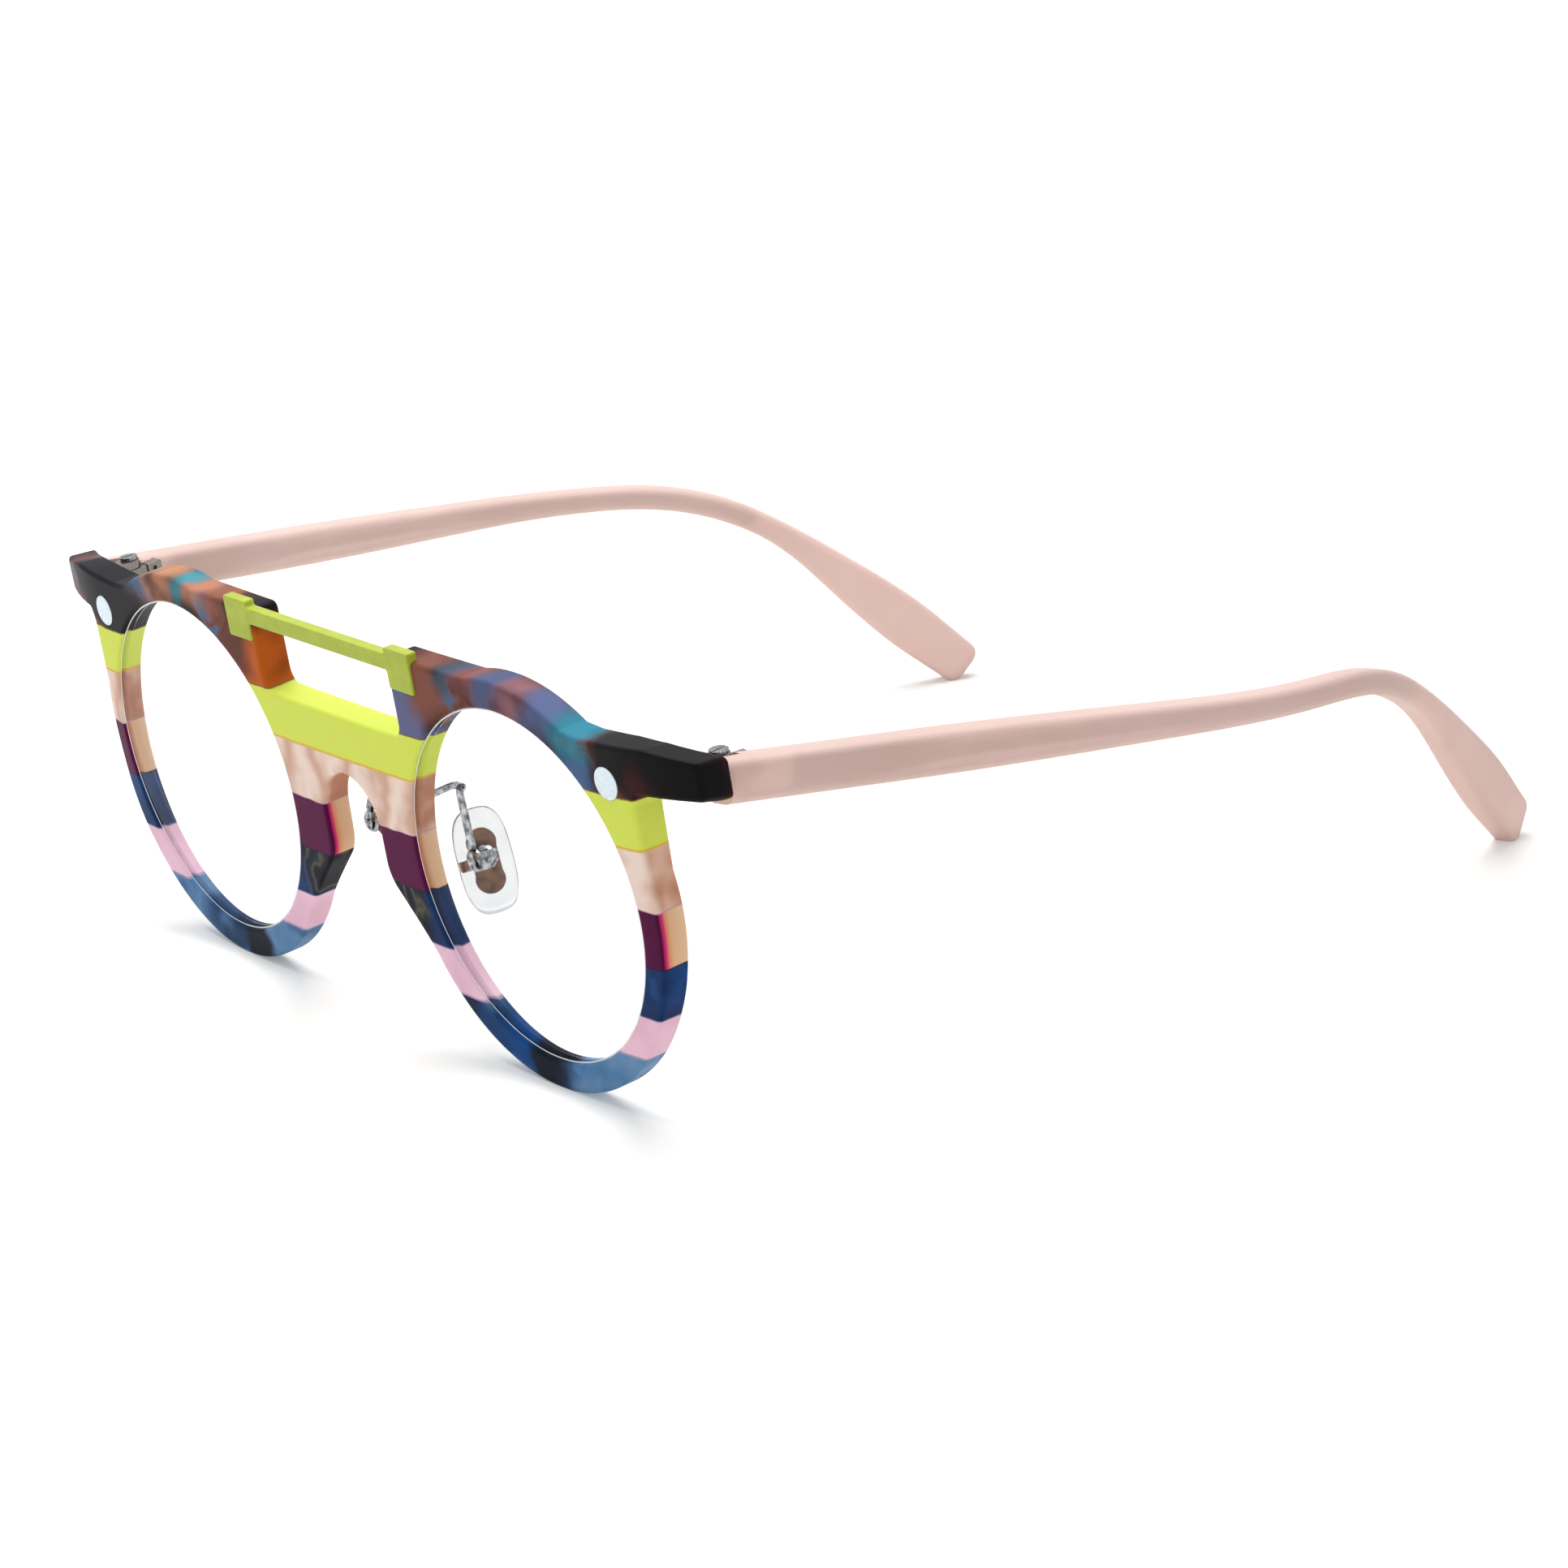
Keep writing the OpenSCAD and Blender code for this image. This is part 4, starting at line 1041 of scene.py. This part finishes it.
def make_nose_pads():
    """Clear ovals with their inserts."""
    bpy.ops.object.select_all(action="DESELECT")
    bpy.ops.mesh.primitive_uv_sphere_add(segments=64, ring_count=32, radius=1)
    pad = reshape(bpy.context.object, lambda p: pad_shape((p[2], p[1], -p[0])))
    finish_pair(pad, "clear_nose_pad", PADS, silicone, "nose_pad", 60)
    dress_pair("pad_insert", "_plate", 0.04, PADS, copper)


def keep_bar_pins():
    """The bar's pins keep their own solids, out of sight in the acetate."""
    for side in ("left_", "right_"):
        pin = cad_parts[side + "brow_bar_pin"]
        pin.data.materials.clear()
        pin.data.materials.append(steel)


make_front()
make_brow_bar()
make_rivets()
make_lenses()
make_temples()
make_cores()
make_hinges()
make_pad_arms()
make_pad_cups()
make_nose_pads()
keep_bar_pins()

# The table, the light and the camera, in metres


def background_rays(tree):
    """1 for rays that show the background, straight or by way of metal and glass, and 0 for others."""
    rays = add(tree, "LightPath").outputs
    seen = add(tree, "Math", {0: rays["Is Camera Ray"], 1: rays["Is Glossy Ray"]}, operation="ADD").outputs[0]
    return add(tree, "Math", {
        0: seen, 1: rays["Is Transmission Ray"]}, operation="ADD", use_clamp=True).outputs[0]


def lay_table():
    """White paper, whose own white takes over where the lamps fall off."""
    bpy.ops.mesh.primitive_plane_add(size=8)
    table = bpy.context.object
    table.name = "table"
    paper = bpy.data.materials.new("white_paper_sweep")
    paper.use_nodes = True
    tree = paper.node_tree
    tree.nodes.clear()
    lit = add(tree, "BsdfDiffuse", {"Color": (0.80, 0.78, 0.75, 1)})
    place = add(tree, "TexCoord").outputs["Object"]
    away = add(tree, "VectorMath", {0: place}, operation="LENGTH").outputs["Value"]
    white = add(tree, "MapRange", {
        "Value": away, "From Min": 0.1, "From Max": 0.9, "To Min": 0.22, "To Max": 0.95}).outputs[0]
    strength = add(tree, "Math", {0: background_rays(tree), 1: white}, operation="MULTIPLY").outputs[0]
    # The glow is bluish and the paper warm, so that they add up to white where the lamps fall, and the
    # table's shadows take a painted blue tint
    glow = add(tree, "Emission", {"Color": (0.82, 0.92, 1.0, 1), "Strength": strength})
    both = add(tree, "AddShader", {0: lit.outputs[0], 1: glow.outputs[0]})
    add(tree, "OutputMaterial", {"Surface": both.outputs[0]})
    table.data.materials.append(paper)


def light_room():
    """A room that looks white, and gives a softer light than it shows."""
    world = bpy.data.worlds.new("white_room")
    bpy.context.scene.world = world
    world.use_nodes = True
    tree = world.node_tree
    tree.nodes.clear()
    strength = add(tree, "MapRange", {
        "Value": background_rays(tree), "To Min": 0.46, "To Max": 1.0}).outputs[0]
    back = add(tree, "Background", {"Color": (1, 1, 1, 1), "Strength": strength})
    add(tree, "OutputWorld", {"Surface": back.outputs[0]})


def lamp(name, place, target, size, power):
    """A softbox: its place, what it points at, its width and height, and its watts."""
    data = bpy.data.lights.new(name, "AREA")
    data.shape = "RECTANGLE"
    data.size, data.size_y = size
    data.energy = power
    piece = bpy.data.objects.new(name, data)
    bpy.context.scene.collection.objects.link(piece)
    piece.location = place
    piece.rotation_euler = (Vector(target) - Vector(place)).to_track_quat("-Z", "Y").to_euler()


def set_camera():
    """The photograph's view: from the front right and a little above."""
    yaw, pitch, roll = math.radians(54.558), math.radians(17.707), math.radians(-4.873)
    back = Vector((math.sin(yaw) * math.cos(pitch), -math.cos(yaw) * math.cos(pitch), math.sin(pitch)))
    level = Vector((math.cos(yaw), math.sin(yaw), 0))
    raised = back.cross(level)
    right = math.cos(roll) * level + math.sin(roll) * raised
    up = -math.sin(roll) * level + math.cos(roll) * raised
    place = Matrix.Translation((0.49594, -0.357715, 0.20834))
    camera = bpy.data.objects.new("camera", bpy.data.cameras.new("camera"))
    bpy.context.scene.collection.objects.link(camera)
    camera.data.sensor_width = 36
    camera.data.lens = 115.53
    camera.data.clip_start = 0.02
    camera.matrix_world = place @ Matrix((right, up, back)).transposed().to_4x4()
    bpy.context.scene.camera = camera


lay_table()
light_room()
lamp("overhead_softbox", (-0.16, 0.04, 0.7), (0, 0, 0), (0.7, 0.6), 6.3)
lamp("front_softbox", (-0.25, -1.0, 0.35), (0, 0, 0.03), (0.7, 0.5), 1.5)
lamp("side_fill", (0.95, -0.25, 0.3), (0, 0, 0.03), (0.5, 0.5), 1.0)
set_camera()
bpy.context.scene.view_settings.view_transform = "Standard"
